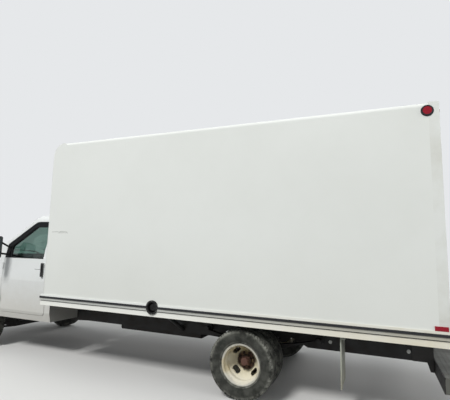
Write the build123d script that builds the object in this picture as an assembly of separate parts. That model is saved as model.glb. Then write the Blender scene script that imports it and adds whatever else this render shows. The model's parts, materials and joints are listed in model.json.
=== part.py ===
from build123d import *
from math import cos, pi, radians, sin, tan
import os

# A 16 ft box truck on a van-nosed cutaway chassis with twin rear wheels, in millimetres.
# The truck is laid out in stations: x forward from the rear axle's centre, y to the left, z up from
# the road. The last lines move the whole model so that the origin lies on the road, at the middle of
# the truck's length and width.

# Wheels and axles
WHEELBASE = 4496
TYRE_RADIUS = 366
TYRE_WIDTH = 223
TREAD_WIDTH = 186
BEAD_RADIUS = 206
RIM_FLANGE_RADIUS = 219
RIM_WIDTH = 176
RIM_WALL = 7
RIM_LIP_WIDTH = 3
TREAD_EDGE = 12
SHOULDER_DROP = 16
SHOULDER_WIDTH = 6
DISC_WALL = 12
DISC_FLAT_RADIUS = 112
PILOT_RADIUS = 62
HAND_HOLE_WIDTH = 38
HAND_HOLE_CORNER = 12
HAND_HOLE_LENGTH = 78
HAND_HOLE_CIRCLE = 147
HAND_HOLES = 4
FRONT_WHEEL_Y = 852
TWIN_SPACING = 262
REAR_OUTER_Y = 1044
HUB_CAP_RADIUS = 42
HUB_CAP_REACH = 100
FRONT_CAP_REACH = 34
FLANGE_RADIUS = 116
FLANGE_WALL = 16
DRUM_RADIUS = 162
DRUM_WIDTH = 104
FRONT_DRUM_WIDTH = 84
WHEEL_GAP = 6
RUN_GAP = 0.4
WHEEL_SIDES = 32
HUB_SIDES = 16
ROUND_SIDES = 20
BAR_SIDES = 12
ARCH_SIDES = 48
BACK_PLATE_RADIUS = 160
BACK_PLATE_WALL = 8
BACK_PLATE_NECK = 30
AXLE_TUBE_RADIUS = 46
DIFF_RADIUS = 150
DIFF_SHOULDER_RADIUS = 120
DIFF_HALF_WIDTH = 120
PINION_LENGTH = 260
PINION_RADIUS = 62

# Steering knuckles, and the arms that carry them
KINGPIN_Y = 728
KINGPIN_HALF = 118
KNUCKLE_HALF_X = 34
KNUCKLE_HALF_Y = 28
SPINDLE_RADIUS = 38
STEERING_ARM_LENGTH = 150
STEERING_ARM_WIDTH = 30
STEERING_ARM_WALL = 22
STEERING_ARM_LIFT = 40
BALL_GAP = 0.4
ARM_WALL = 26
ARM_TIP_HALF = 42
ARM_ROOT_HALF = 190
ARM_ROOT_BAR = 50
CRADLE_WALL = 70

# Ladder frame
RAIL_OUTER_Y = 432
RAIL_FLANGE = 70
RAIL_WALL = 8
FRAME_REAR_X = -1860
FRAME_FRONT_X = 5230
RAIL_BOTTOM_Z = 460
RAIL_TOP_Z = 650
ARCH_BOTTOM_Z = 548
ARCH_HALF_X = 430
ARCH_RAMP_X = 170
CAB_RAIL_TOP_Z = 600
CAB_RAIL_BOTTOM_Z = 450
RAIL_STEP_X = 2750
RAIL_STEP_RAMP_X = 160
CROSSMEMBER_X = (-1800, -700, 700, 1500, 2300, 2660)
CROSSMEMBER_WIDTH = 70
CROSSMEMBER_HEIGHT = 84

# Leaf springs
SPRING_Y = 512
LEAF_WIDTH = 66
LEAF_WALL = 11
LEAF_COUNT = 4
SPRING_HALF_REAR = 740
SPRING_RISE = 105
SPRING_EYE_RADIUS = 30
SPRING_SEAT_HEIGHT = 16
SPRING_SEAT_GAP = 0.5
LEAF_STEP = 130
LEAF_STATIONS = 12
HANGER_HALF_X = 42

# Cargo box
BOX_LENGTH = 4877
BOX_REAR_X = -1984
BOX_HALF_WIDTH = 1219
BOX_TOP_Z = 3053
BOX_WALL = 22
NOSE_RADIUS = 188
LINER_CHAMFER = 110
ROOF_EDGE_RADIUS = 45
CAP_LENGTH = 250
ROOF_DEPTH = 64
DECK_TOP_Z = 926
DECK_THICKNESS = 32
BOARD_WALL = 4
BOARD_GAP = 2
CROSS_SILL_HEIGHT = 76
CROSS_SILL_WIDTH = 44
CROSS_SILL_PITCH = 406
CROSS_SILLS = 12
FIRST_SILL_X = -1700
LONG_SILL_WIDTH = 60

# Side rails, as layers up the outside of the deck's edge
SKIRT_BOTTOM_Z = 782
SKIRT_TOP_Z = 841
GROOVE_TOP_Z = 848
RUB_BOTTOM_Z = 879
RUB_TOP_Z = 901
LIP_TOP_Z = DECK_TOP_Z
RAIL_PROUD = 12
RUB_PROUD = 20
GROOVE_DEPTH = 10
SIDE_RAIL_WIDTH = 34

# Rear portal, roll-up door and step
REAR_FRAME_DEPTH = 92
POST_WIDTH = 92
HEADER_HEIGHT = 150
DOOR_SECTIONS = 7
DOOR_SECTION_WALL = 28
DOOR_SECTION_GROOVE = 8
DOOR_INSET = 24
LATCH_HALF_WIDTH = 90
LATCH_RISE = 60
LATCH_HEIGHT = 70
STEP_FRONT_X = -1925
STEP_REAR_X = -2190
STEP_HALF_WIDTH = 1100
STEP_TOP_Z = 506
STEP_BOTTOM_Z = 366
STEP_WALL = 10
HANGER_WALL = 12
HANGER_FOOT_X = 140

# Mud flaps
FLAP_X = -1052
FLAP_WALL = 12
FLAP_TOP_Z = 748
FLAP_BOTTOM_Z = 282
FLAP_CLEARANCE = 25
FLAP_WIDTH = 400
FLAP_BRACKET_WALL = 34

# Lamps and reflectors
MARKER_RADIUS = 40
MARKER_PROUD = 12
SIDE_MARKER_X = -1882
SIDE_MARKER_Z = 2967
REFLECTOR_LENGTH = 108
REFLECTOR_HEIGHT = 40
REFLECTOR_X = -1910
REFLECTOR_Z = 947
REFLECTOR_PROUD = 7
TOP_LAMP_Y = (-1120, -260, 0, 260, 1120)
TOP_LAMP_LENGTH = 64
TOP_LAMP_HEIGHT = 26
TAIL_LAMP_RADIUS = 52
TAIL_LAMP_Y = (900, 1030)
TAIL_LAMP_Z = 854

# Fuel filler and tank
FILLER_X = 1096
FILLER_Z = 890
FILLER_RADIUS = 82
FILLER_CUP_RADIUS = 66
FILLER_DEPTH = 70
FILLER_WALL = 5
FILLER_CAP_RADIUS = 42
FILLER_PROUD = 15
TANK_FRONT_X = 2180
TANK_REAR_X = 860
TANK_INNER_Y = 90
TANK_BOTTOM_Z = 380
TANK_TOP_Z = 558
TANK_EDGE_RADIUS = 40
FILLER_PIPE_RADIUS = 26
FILLER_PIPE_DROP = 40
FILLER_RUN = 80
TANK_OUTER_Y = 354
TANK_INLET_Z = 505

# Cab body: its section across, from the sill up to the roof
CAB_REAR_X = 2965
CAB_WALL = 60
CAB_BOTTOM_Z = 495
SILL_HALF_WIDTH = 962
LOWER_TURN_Z = 620
LOWER_TURN_HALF_WIDTH = 990
CREASE_Z = 1062
CREASE_HALF_WIDTH = 1006
BELT_Z = 1385
BELT_HALF_WIDTH = 986
CANT_RAIL_Z = 1940
CANT_RAIL_HALF_WIDTH = 892
ROOF_CORNER_Z = 2044
ROOF_CORNER_HALF_WIDTH = 868
ROOF_TOP_Z = 2080
ROOF_CORNER_RADIUS = 105

# Nose and hood, crowned across and sloping to the front
CAB_FRONT_X = 5345
NOSE_BOW_RADIUS = 2400
NOSE_CORNER_RADIUS = 240
NOSE_SHOULDER_X = 5250
NOSE_SHOULDER_Z = 1215
NOSE_FACE_Z = 1050
HOOD_REAR_X = 4345
HOOD_REAR_Z = 1470
HOOD_SLOPE_DEG = 16.7
HOOD_CROWN_RADIUS = 6000

# Windscreen, a round sheet that leans back
SCREEN_TOP_X = 3713
SCREEN_TOP_Z = 2014
SCREEN_SLOPE_DEG = 33.3
SCREEN_RADIUS = 3000
SCREEN_BOTTOM_HALF_WIDTH = 850
SCREEN_TOP_HALF_WIDTH = 745
SCREEN_CUT_BOTTOM_Z = 1412
SCREEN_CUT_TOP_Z = 1952
SCREEN_CORNER_RADIUS = 70
GLASS_WALL = 6
GLASS_INSET = 20

# Cab doors and their windows
SEAM = 7
DOOR_REAR_X = 3073
DOOR_FRONT_X = 3993
DOOR_BOTTOM_Z = 572
DOOR_TOP_Z = 1972
DOOR_PILLAR_Z = 1600
DOOR_HEADER_X = 3475
DOOR_CORNER_CUT = 34
DOOR_HEADER_RADIUS = 170
DOOR_TAPER_DEG = 14
DOOR_PLANE_Y = 1010
DOOR_CUT_DEPTH = 250
DOOR_HINGE_Z = (740, 1230)
DOOR_HINGE_HEIGHT = 80
HINGE_LEAF_WIDTH = 14
HINGE_LEAF_DEPTH = 26
WINDOW_REAR_X = 3194
WINDOW_REAR_TOP_X = 3150
WINDOW_FRONT_X = 3905
WINDOW_BOTTOM_Z = 1392
WINDOW_TOP_Z = 1868
WINDOW_FRONT_Z = 1556
WINDOW_HEADER_X = 3462
WINDOW_CORNER_RADIUS = 45

# Hood panel's outline, measured along its slope, and the front wings
HOOD_EDGE_U = 215
HOOD_CENTRE_U = 440
HOOD_NOSE_U = 900
HOOD_REAR_HALF_WIDTH = 760
HOOD_CORNER_HALF_WIDTH = 660
HOOD_HINGE_DROP = 42
HOOD_CENTRE_HALF_WIDTH = 300
HOOD_NOSE_HALF_WIDTH = 690
HOOD_TAPER_DEG = 14
HOOD_CUT_RISE = 30
HOOD_CUT_DEPTH = 220
PILLAR_FOOT_Z = 1330
PILLAR_FOOT_X = 4425
ARCH_RADIUS = 446

# Door hardware
HANDLE_X = 3155
HANDLE_BOTTOM_Z = 1130
HANDLE_TOP_Z = 1330
HANDLE_WIDTH = 38
HANDLE_PROUD = 24
HANDLE_CORNER_RADIUS = 12
MIRROR_X = 3938
MIRROR_Z = 1545
MIRROR_DEPTH = 96
MIRROR_WIDTH = 200
MIRROR_HEIGHT = 330
MIRROR_CORNER_RADIUS = 32
MIRROR_OUT_Y = 1130
MIRROR_ARM_RADIUS = 14
MIRROR_ARM_SPREAD = 90
MIRROR_ARM_Z = 1470
MIRROR_FOOT_Y = 900
MIRROR_ARM_GRIP = 20

# Front end
PANEL_REAR_X = 5080
PANEL_HALF_WIDTH = 885
PANEL_BOTTOM_Z = 692
GRILLE_HALF_WIDTH = 560
GRILLE_BOTTOM_Z = 738
GRILLE_TOP_Z = 1012
GRILLE_BARS = 4
GRILLE_BAR_HEIGHT = 16
GRILLE_RIBS = 2
GRILLE_RIB_WIDTH = 12
LAMP_INNER_Y = 585
LAMP_OUTER_Y = 855
LAMP_BOTTOM_Z = 742
LAMP_TOP_Z = 1008
BUMPER_FRONT_X = 5395
BUMPER_BOTTOM_Z = 470
BUMPER_TOP_Z = 676
BUMPER_HALF_WIDTH = 985
BUMPER_WALL = 34
BUMPER_CORNER_RADIUS = 200
BUMPER_REAR_X = 5010
BUMPER_STRIP = 400

# Cab inside
FLOOR_TOP_Z = 640
FIREWALL_X = 4096
FIREWALL_WALL = 34
FIREWALL_TOP_Z = 1320
TUNNEL_HALF_WIDTH = 300
TUNNEL_REAR_X = 3760
TUNNEL_TOP_Z = 960
SEAT_Y = 500
SEAT_WIDTH = 520
SEAT_REAR_GAP = 105
SEAT_LENGTH = 570
SEAT_BASE_Z = 860
SEAT_CUSHION = 150
SEAT_DISH = 30
SEAT_BACK_TOP_Z = 1560
SEAT_BACK_WALL = 130
HEADREST_TOP_Z = 1740
HEADREST_WALL = 90
SEAT_RECLINE = 70
HEADREST_HALF_WIDTH = 120
DASH_REAR_X = 3850
DASH_TOP_Z = 1300
DASH_BOTTOM_Z = 1000
DASH_BROW = 60
DASH_HALF_WIDTH = 880
STEERING_X = 3700
STEERING_Z = 1230
STEERING_TILT_DEG = 30
STEERING_HUB_DEPTH = 60
COLUMN_LENGTH = 260
COLUMN_RADIUS = 32
STEERING_RIM_RADIUS = 190
STEERING_GRIP_RADIUS = 15
STEERING_GRIP_SIDES = 8
SPOKE_TURNS_DEG = (0, 180, 270)
STEERING_HUB_RADIUS = 55

# Drive line
ENGINE_FRONT_X = 4860
ENGINE_REAR_X = 4130
ENGINE_HALF_WIDTH = 290
ENGINE_BOTTOM_Z = 420
ENGINE_TOP_Z = 1010
GEARBOX_REAR_X = 3200
GEARBOX_HALF_WIDTH = 150
GEARBOX_Z = 540
GEARBOX_RISE = 50
GEARBOX_DROP = 75
GEARBOX_MOUNT_X = 3420
ENGINE_MOUNT_X = 4440
SHAFT_RADIUS = 45
SHAFT_JOINT_GAP = 3
EXHAUST_RADIUS = 32
EXHAUST_Y = -250
EXHAUST_Z = 420
MUFFLER_RADIUS = 95
MUFFLER_REAR_X = 1250
MUFFLER_FRONT_X = 2050
EXHAUST_FRONT_X = 4100
STRAP_WIDTH = 40
STRAP_WALL = 6
TAIL_PIPE_X = 780
TAIL_PIPE_END_Y = 1150
TAIL_PIPE_Z = 400
TAIL_PIPE_BEND = 110
PIPE_OVERLAP = 30


BOX_FRONT_X = BOX_REAR_X + BOX_LENGTH
DECK_BOTTOM_Z = DECK_TOP_Z - DECK_THICKNESS
CROSS_SILL_BOTTOM_Z = DECK_BOTTOM_Z - CROSS_SILL_HEIGHT
ORIGIN_X = (BUMPER_FRONT_X + STEP_REAR_X) / 2
FAR = 4000

parts = {}


def block(x, y, z):
    """A box from its low and high corners, each given as a (low, high) pair."""
    size = (x[1] - x[0], y[1] - y[0], z[1] - z[0])
    return Pos((x[0] + x[1]) / 2, (y[0] + y[1]) / 2, (z[0] + z[1]) / 2) * Box(*size)


def side_prism(points, y):
    """An outline drawn in x and z, between two y planes."""
    face = make_face(Polyline(*[(px, 0, pz) for px, pz in points], close=True))
    return Pos(0, y[0], 0) * extrude(face, y[1] - y[0], dir=(0, 1, 0))


def across(points, x):
    """An outline drawn in y and z, between two x planes."""
    face = make_face(Polyline(*[(0, py, pz) for py, pz in points], close=True))
    return Pos(x[0], 0, 0) * extrude(face, x[1] - x[0], dir=(1, 0, 0))


def rod(start, end, radius):
    """A round bar between two points."""
    direction = Vector(*end) - Vector(*start)
    plane = Plane(origin=start, z_dir=direction)
    return plane * Pos(0, 0, direction.length / 2) * Cylinder(radius, direction.length)


def bar(start, end, radius):
    """A straight bar between two points, with flat sides."""
    direction = Vector(*end) - Vector(*start)
    section = Plane(origin=start, z_dir=direction) * RegularPolygon(radius, BAR_SIDES)
    return extrude(section, direction.length, dir=direction)


def pipe(points, radius):
    """A flat-sided pipe along straight runs, mitred where they meet."""
    route = Polyline(*points)
    section = Plane(origin=route @ 0, z_dir=route % 0) * RegularPolygon(radius, BAR_SIDES)
    return sweep(section, route, transition=Transition.RIGHT)


def turned(profile, sides, y=0):
    """A lathe-turned solid with flat facets, about the y axis, from (radius, y) points."""
    rings = []
    for number in range(sides):
        turn_deg = number * 360 / sides
        rings.append([Vector(0, y + py, radius).rotate(Axis.Y, turn_deg) for radius, py in profile])
    facets = []
    for number in range(sides):
        near = rings[number - 1]
        far = rings[number]
        for band in range(len(profile)):
            corners = [near[band - 1], near[band]]
            if profile[band][0] > 0:
                corners.append(far[band])
            if profile[band - 1][0] > 0:
                corners.append(far[band - 1])
            if len(corners) > 2:
                facets.append(Face(Wire.make_polygon(corners)))
    return Solid(Shell(facets))


def mirrored(shape):
    return mirror(shape, Plane.XZ)


def both_sides(shape):
    return [shape, mirrored(shape)]


def separate(shapes):
    """Solids that stay apart, in one node."""
    solids = []
    for shape in shapes:
        solids.extend(shape.solids())
    return Compound(solids)


AXLE_Z = TYRE_RADIUS
DISC_FACE_Y = REAR_OUTER_Y - TWIN_SPACING / 2
FRONT_FACE_Y = FRONT_WHEEL_Y + TWIN_SPACING / 2
REAR_INNER_Y = REAR_OUTER_Y - TWIN_SPACING
REAR_FLANGE_Y = DISC_FACE_Y - DISC_WALL
FRONT_FLANGE_Y = FRONT_FACE_Y - DISC_WALL
REAR_DRUM_BACK_Y = REAR_FLANGE_Y - FLANGE_WALL - DRUM_WIDTH
FRONT_DRUM_BACK_Y = FRONT_FLANGE_Y - FLANGE_WALL - FRONT_DRUM_WIDTH


# Road wheels. Each tyre and each wheel is turned about the axle. The two discs of a pair of twins
# meet face to face, so both lie well outside their own rims, and the front wheel is the inner sort.
def both_ways(side):
    """A profile across the whole width, from its points on the outer side."""
    return side + [(radius, -py) for radius, py in reversed(side)]


def tyre(y):
    tread = TREAD_WIDTH / 2
    profile = both_ways([
        (BEAD_RADIUS, RIM_WIDTH / 2 - RIM_WALL),
        ((BEAD_RADIUS + TYRE_RADIUS) / 2, TYRE_WIDTH / 2),
        (TYRE_RADIUS - SHOULDER_DROP, tread + SHOULDER_WIDTH),
        (TYRE_RADIUS, tread - TREAD_EDGE),
    ])
    return turned(profile, WHEEL_SIDES, y)


def wheel_rim():
    seat = RIM_WIDTH / 2
    outside = both_ways([(RIM_FLANGE_RADIUS, seat + RIM_LIP_WIDTH), (BEAD_RADIUS, seat - RIM_WALL)])
    inside = both_ways([(BEAD_RADIUS - RIM_WALL, seat)])
    return turned(outside + inside[::-1], WHEEL_SIDES)


def wheel_disc():
    """The disc of an outer twin: it leaves the rim and runs inward to the plane of the hub."""
    weld = BEAD_RADIUS - RIM_LIP_WIDTH
    face = -TWIN_SPACING / 2
    bore = PILOT_RADIUS - RIM_WALL
    disc = turned([
        (weld, DISC_WALL),
        (DISC_FLAT_RADIUS, face + DISC_WALL),
        (bore, face + DISC_WALL),
        (bore, face),
        (DISC_FLAT_RADIUS + RIM_WALL, face),
        (weld, -DISC_WALL),
    ], HUB_SIDES)
    outline = Rectangle(HAND_HOLE_LENGTH, HAND_HOLE_WIDTH)
    outline = Pos(0, HAND_HOLE_CIRCLE) * chamfer(outline.vertices(), HAND_HOLE_CORNER)
    cutter = extrude(Plane.XZ.offset(TWIN_SPACING) * outline, 2 * TWIN_SPACING, dir=(0, 1, 0))
    for number in range(HAND_HOLES):
        disc -= Rot(0, (number + 0.5) * 360 / HAND_HOLES, 0) * cutter
    return disc


def road_wheel(y, outer):
    wheel = wheel_rim() + wheel_disc()
    if not outer:
        wheel = mirrored(wheel)
    return Pos(0, y, 0) * wheel


def hub(face_y, cap_reach, flange_y, drum_back_y):
    """Cap, barrel, flange and brake drum, from the outside inward."""
    return turned([
        (0, face_y + cap_reach),
        (HUB_CAP_RADIUS, face_y + cap_reach),
        (PILOT_RADIUS, face_y + cap_reach / 2),
        (PILOT_RADIUS, flange_y),
        (FLANGE_RADIUS, flange_y),
        (DRUM_RADIUS, flange_y - FLANGE_WALL),
        (DRUM_RADIUS, drum_back_y),
        (0, drum_back_y),
    ], HUB_SIDES)


def at_rear_axle(shape):
    return Pos(0, 0, AXLE_Z) * shape


def at_front_axle(shape):
    return Pos(WHEELBASE, 0, AXLE_Z) * shape


rear_tyres = separate([tyre(REAR_OUTER_Y), tyre(REAR_INNER_Y)])
rear_hub = hub(DISC_FACE_Y, HUB_CAP_REACH, REAR_FLANGE_Y, REAR_DRUM_BACK_Y)
rear_wheel = road_wheel(REAR_OUTER_Y, True) + road_wheel(REAR_INNER_Y, False) + rear_hub
front_hub = hub(FRONT_FACE_Y, FRONT_CAP_REACH, FRONT_FLANGE_Y, FRONT_DRUM_BACK_Y)
front_wheel = road_wheel(FRONT_WHEEL_Y, False) + front_hub
parts["tyres_rear_left"] = at_rear_axle(rear_tyres)
parts["wheel_rear_left"] = at_rear_axle(rear_wheel)
parts["tyre_front_left"] = at_front_axle(tyre(FRONT_WHEEL_Y))
parts["wheel_front_left"] = at_front_axle(front_wheel)


# Steering knuckle: an upright on the kingpin's line, the spindle, and an arm to the rear.
def knuckle():
    upright = block(
        (-KNUCKLE_HALF_X, KNUCKLE_HALF_X),
        (KINGPIN_Y - KNUCKLE_HALF_Y, KINGPIN_Y + KNUCKLE_HALF_Y),
        (-KINGPIN_HALF, KINGPIN_HALF),
    )
    spindle = bar((0, KINGPIN_Y, 0), (0, FRONT_DRUM_BACK_Y - RUN_GAP, 0), SPINDLE_RADIUS)
    arm_z = STEERING_ARM_LIFT - KINGPIN_HALF
    arm = block(
        (-STEERING_ARM_LENGTH, 0),
        (KINGPIN_Y - KNUCKLE_HALF_Y - STEERING_ARM_WIDTH, KINGPIN_Y - KNUCKLE_HALF_Y),
        (arm_z, arm_z + STEERING_ARM_WALL),
    )
    foot = block(
        (-KNUCKLE_HALF_X, 0),
        (KINGPIN_Y - KNUCKLE_HALF_Y - STEERING_ARM_WIDTH, KINGPIN_Y),
        (arm_z, arm_z + STEERING_ARM_WALL),
    )
    return upright + spindle + arm + foot


parts["knuckle_left"] = at_front_axle(knuckle())


# Independent front suspension: a cradle under the rails and two wishbones a side, each a flat
# pressing that is wide at its root and narrow at the ball joint.
def wishbone(z):
    points = [
        (ARM_ROOT_HALF, RAIL_OUTER_Y),
        (ARM_TIP_HALF, KINGPIN_Y),
        (-ARM_TIP_HALF, KINGPIN_Y),
        (-ARM_ROOT_HALF, RAIL_OUTER_Y),
        (-ARM_ROOT_HALF + ARM_ROOT_BAR, RAIL_OUTER_Y),
        (-ARM_ROOT_HALF + ARM_ROOT_BAR, RAIL_OUTER_Y + ARM_ROOT_BAR),
        (0, KINGPIN_Y - 2 * ARM_ROOT_BAR),
        (ARM_ROOT_HALF - ARM_ROOT_BAR, RAIL_OUTER_Y + ARM_ROOT_BAR),
        (ARM_ROOT_HALF - ARM_ROOT_BAR, RAIL_OUTER_Y),
    ]
    face = make_face(Polyline(*points, close=True))
    return Pos(0, 0, z) * extrude(face, ARM_WALL)


upper_arm = wishbone(KINGPIN_HALF + BALL_GAP)
lower_arm_z = -KINGPIN_HALF - BALL_GAP - ARM_WALL
lower_arm = wishbone(lower_arm_z)
rail_seat = CAB_RAIL_BOTTOM_Z - AXLE_Z
cradle = block(
    (-ARM_ROOT_HALF, ARM_ROOT_HALF),
    (-RAIL_OUTER_Y, RAIL_OUTER_Y),
    (lower_arm_z, rail_seat),
)
cradle -= block(
    (-FAR, FAR),
    (CRADLE_WALL - RAIL_OUTER_Y, RAIL_OUTER_Y - CRADLE_WALL),
    (lower_arm_z + CRADLE_WALL, FAR),
)
cradle = cradle + lower_arm + mirrored(lower_arm)
suspension = [cradle, upper_arm, mirrored(upper_arm)]
parts["front_suspension"] = separate([at_front_axle(item) for item in suspension])


# Ladder frame: two channels, arched over the rear axle and stepped down under the cab, open inward.
def rail_side(inset):
    over = 0 if inset == 0 else FAR
    arch = ARCH_HALF_X + inset
    ramp = ARCH_HALF_X + ARCH_RAMP_X + inset
    step = RAIL_STEP_X + RAIL_STEP_RAMP_X
    return [
        (FRAME_REAR_X - over, RAIL_BOTTOM_Z + inset),
        (-ramp, RAIL_BOTTOM_Z + inset),
        (-arch, ARCH_BOTTOM_Z + inset),
        (arch, ARCH_BOTTOM_Z + inset),
        (ramp, RAIL_BOTTOM_Z + inset),
        (RAIL_STEP_X, RAIL_BOTTOM_Z + inset),
        (step, CAB_RAIL_BOTTOM_Z + inset),
        (FRAME_FRONT_X + over, CAB_RAIL_BOTTOM_Z + inset),
        (FRAME_FRONT_X + over, CAB_RAIL_TOP_Z - inset),
        (step, CAB_RAIL_TOP_Z - inset),
        (RAIL_STEP_X, RAIL_TOP_Z - inset),
        (FRAME_REAR_X - over, RAIL_TOP_Z - inset),
    ]


rail = side_prism(rail_side(0), (RAIL_OUTER_Y - RAIL_FLANGE, RAIL_OUTER_Y))
rail -= side_prism(rail_side(RAIL_WALL), (0, RAIL_OUTER_Y - RAIL_WALL))
pipe_hole = bar(
    (FILLER_X, RAIL_OUTER_Y - 2 * RAIL_FLANGE, TANK_INLET_Z),
    (FILLER_X, RAIL_OUTER_Y + RAIL_FLANGE, TANK_INLET_Z),
    FILLER_PIPE_RADIUS + SEAM,
)
frame = (rail - pipe_hole) + mirrored(rail)
for station in CROSSMEMBER_X:
    top = RAIL_TOP_Z - RAIL_WALL
    bottom = top - CROSSMEMBER_HEIGHT
    member = block(
        (station, station + CROSSMEMBER_WIDTH),
        (RAIL_WALL - RAIL_OUTER_Y, RAIL_OUTER_Y - RAIL_WALL),
        (bottom, top),
    )
    member -= block(
        (station + RAIL_WALL, station + CROSSMEMBER_WIDTH - RAIL_WALL),
        (-FAR, FAR),
        (bottom - FAR, top - RAIL_WALL),
    )
    frame += member
parts["frame_rails"] = frame


# Rear axle: a tube through the differential and the brake back plates, with the pinion's nose
# and a seat for each spring.
tube_y = REAR_DRUM_BACK_Y - RUN_GAP
plate_y = REAR_DRUM_BACK_Y - WHEEL_GAP
axle = bar((0, -tube_y, 0), (0, tube_y, 0), AXLE_TUBE_RADIUS)
axle += turned([
    (0, -DIFF_HALF_WIDTH),
    (DIFF_SHOULDER_RADIUS, -DIFF_HALF_WIDTH / 2),
    (DIFF_RADIUS, 0),
    (DIFF_SHOULDER_RADIUS, DIFF_HALF_WIDTH / 2),
    (0, DIFF_HALF_WIDTH),
], HUB_SIDES)
back_plate = turned([
    (0, plate_y),
    (BACK_PLATE_RADIUS, plate_y),
    (BACK_PLATE_RADIUS, plate_y - BACK_PLATE_WALL),
    (0, plate_y - BACK_PLATE_NECK),
], HUB_SIDES)
axle += both_sides(back_plate)
axle += bar((0, 0, 0), (PINION_LENGTH, 0, 0), PINION_RADIUS)
for side in (1, -1):
    axle += block(
        (-LEAF_WIDTH, LEAF_WIDTH),
        (side * SPRING_Y - LEAF_WIDTH / 2, side * SPRING_Y + LEAF_WIDTH / 2),
        (0, AXLE_TUBE_RADIUS + SPRING_SEAT_HEIGHT),
    )
parts["rear_axle"] = at_rear_axle(axle)


# Leaf springs: each a stack of bowed leaves on the axle's seat, with an eye and a hanger at both ends.
def leaf(number):
    """One leaf, bowed as a parabola, from its rear end to its front end in steps of a leaf's setback."""
    seat_z = AXLE_TUBE_RADIUS + SPRING_SEAT_HEIGHT + SPRING_SEAT_GAP
    low = seat_z + (LEAF_COUNT - 1 - number) * LEAF_WALL
    stations = [-SPRING_HALF_REAR + step * LEAF_STEP for step in range(number, LEAF_STATIONS - number)]
    under = [(x, low + SPRING_RISE * (x / SPRING_HALF_REAR) ** 2) for x in stations]
    over = [(x, z + LEAF_WALL) for x, z in reversed(under)]
    return side_prism(under + over, (SPRING_Y - LEAF_WIDTH / 2, SPRING_Y + LEAF_WIDTH / 2))


SPRING_HALF_FRONT = (LEAF_STATIONS - 1) * LEAF_STEP - SPRING_HALF_REAR
eye_z = AXLE_TUBE_RADIUS + SPRING_SEAT_HEIGHT + (LEAF_COUNT - 1) * LEAF_WALL + SPRING_RISE
spring = leaf(0)
for number in range(1, LEAF_COUNT):
    spring += leaf(number)
for eye_x in (-SPRING_HALF_REAR, SPRING_HALF_FRONT):
    spring += bar(
        (eye_x, SPRING_Y - LEAF_WIDTH / 2, eye_z),
        (eye_x, SPRING_Y + LEAF_WIDTH / 2, eye_z),
        SPRING_EYE_RADIUS,
    )
    spring += block(
        (eye_x - HANGER_HALF_X, eye_x + HANGER_HALF_X),
        (RAIL_OUTER_Y, SPRING_Y - LEAF_WIDTH / 2),
        (eye_z - HANGER_HALF_X, RAIL_TOP_Z - AXLE_Z),
    )
clamp = block(
    (-LEAF_WIDTH, LEAF_WIDTH),
    (SPRING_Y - LEAF_WIDTH / 2, SPRING_Y + LEAF_WIDTH / 2),
    (
        AXLE_TUBE_RADIUS + SPRING_SEAT_HEIGHT + 2 * LEAF_WALL,
        AXLE_TUBE_RADIUS + SPRING_SEAT_HEIGHT + (LEAF_COUNT + 2) * LEAF_WALL,
    ),
)
spring += clamp
parts["leaf_springs"] = separate([at_rear_axle(item) for item in both_sides(spring)])


# Cargo box: a round-nosed shell, lined flat inside, cut into its walls, its front cap and its roof.
def nose_edges(volume):
    """The upright and the top edges of a box's front."""
    front = volume.edges().group_by(Axis.X)[-1]
    return front.filter_by(Axis.Z) + front.filter_by(Axis.Y).group_by(Axis.Z)[-1]


cargo_x = (BOX_REAR_X, BOX_FRONT_X)
cargo_body = block(cargo_x, (-BOX_HALF_WIDTH, BOX_HALF_WIDTH), (DECK_TOP_Z, BOX_TOP_Z))
cargo_body = fillet(nose_edges(cargo_body), NOSE_RADIUS)
roof_round = block((-FAR, FAR), (-BOX_HALF_WIDTH, BOX_HALF_WIDTH), (0, BOX_TOP_Z))
cargo_body &= fillet(roof_round.edges().filter_by(Axis.X).group_by(Axis.Z)[-1], ROOF_EDGE_RADIUS)
inner_half = BOX_HALF_WIDTH - BOX_WALL
cargo_hollow = block(
    (BOX_REAR_X - BOX_WALL, BOX_FRONT_X - BOX_WALL),
    (-inner_half, inner_half),
    (DECK_TOP_Z - BOX_WALL, BOX_TOP_Z - BOX_WALL),
)
cargo_hollow = chamfer(nose_edges(cargo_hollow), LINER_CHAMFER)
cargo_shell = cargo_body - cargo_hollow
cap_x = BOX_FRONT_X - CAP_LENGTH
filler_hole = turned([
    (0, BOX_HALF_WIDTH - FILLER_RADIUS),
    (FILLER_RADIUS, BOX_HALF_WIDTH - FILLER_RADIUS),
    (FILLER_RADIUS, BOX_HALF_WIDTH + FILLER_RADIUS),
    (0, BOX_HALF_WIDTH + FILLER_RADIUS),
], ROUND_SIDES)
filler_hole = Pos(FILLER_X, 0, FILLER_Z) * filler_hole
roof_z = BOX_TOP_Z - ROOF_DEPTH
wall_x = (BOX_REAR_X + REAR_FRAME_DEPTH, cap_x)
parts["box_front_cap"] = cargo_shell & block((cap_x, FAR), (-FAR, FAR), (0, FAR))
parts["box_roof"] = cargo_shell & block(wall_x, (-FAR, FAR), (roof_z, FAR))
left_wall = cargo_shell & block(wall_x, (0, FAR), (0, roof_z))
left_wall -= filler_hole
parts["box_side_left"] = left_wall
parts["box_side_right"] = cargo_shell & block(wall_x, (-FAR, 0), (0, roof_z))


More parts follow.
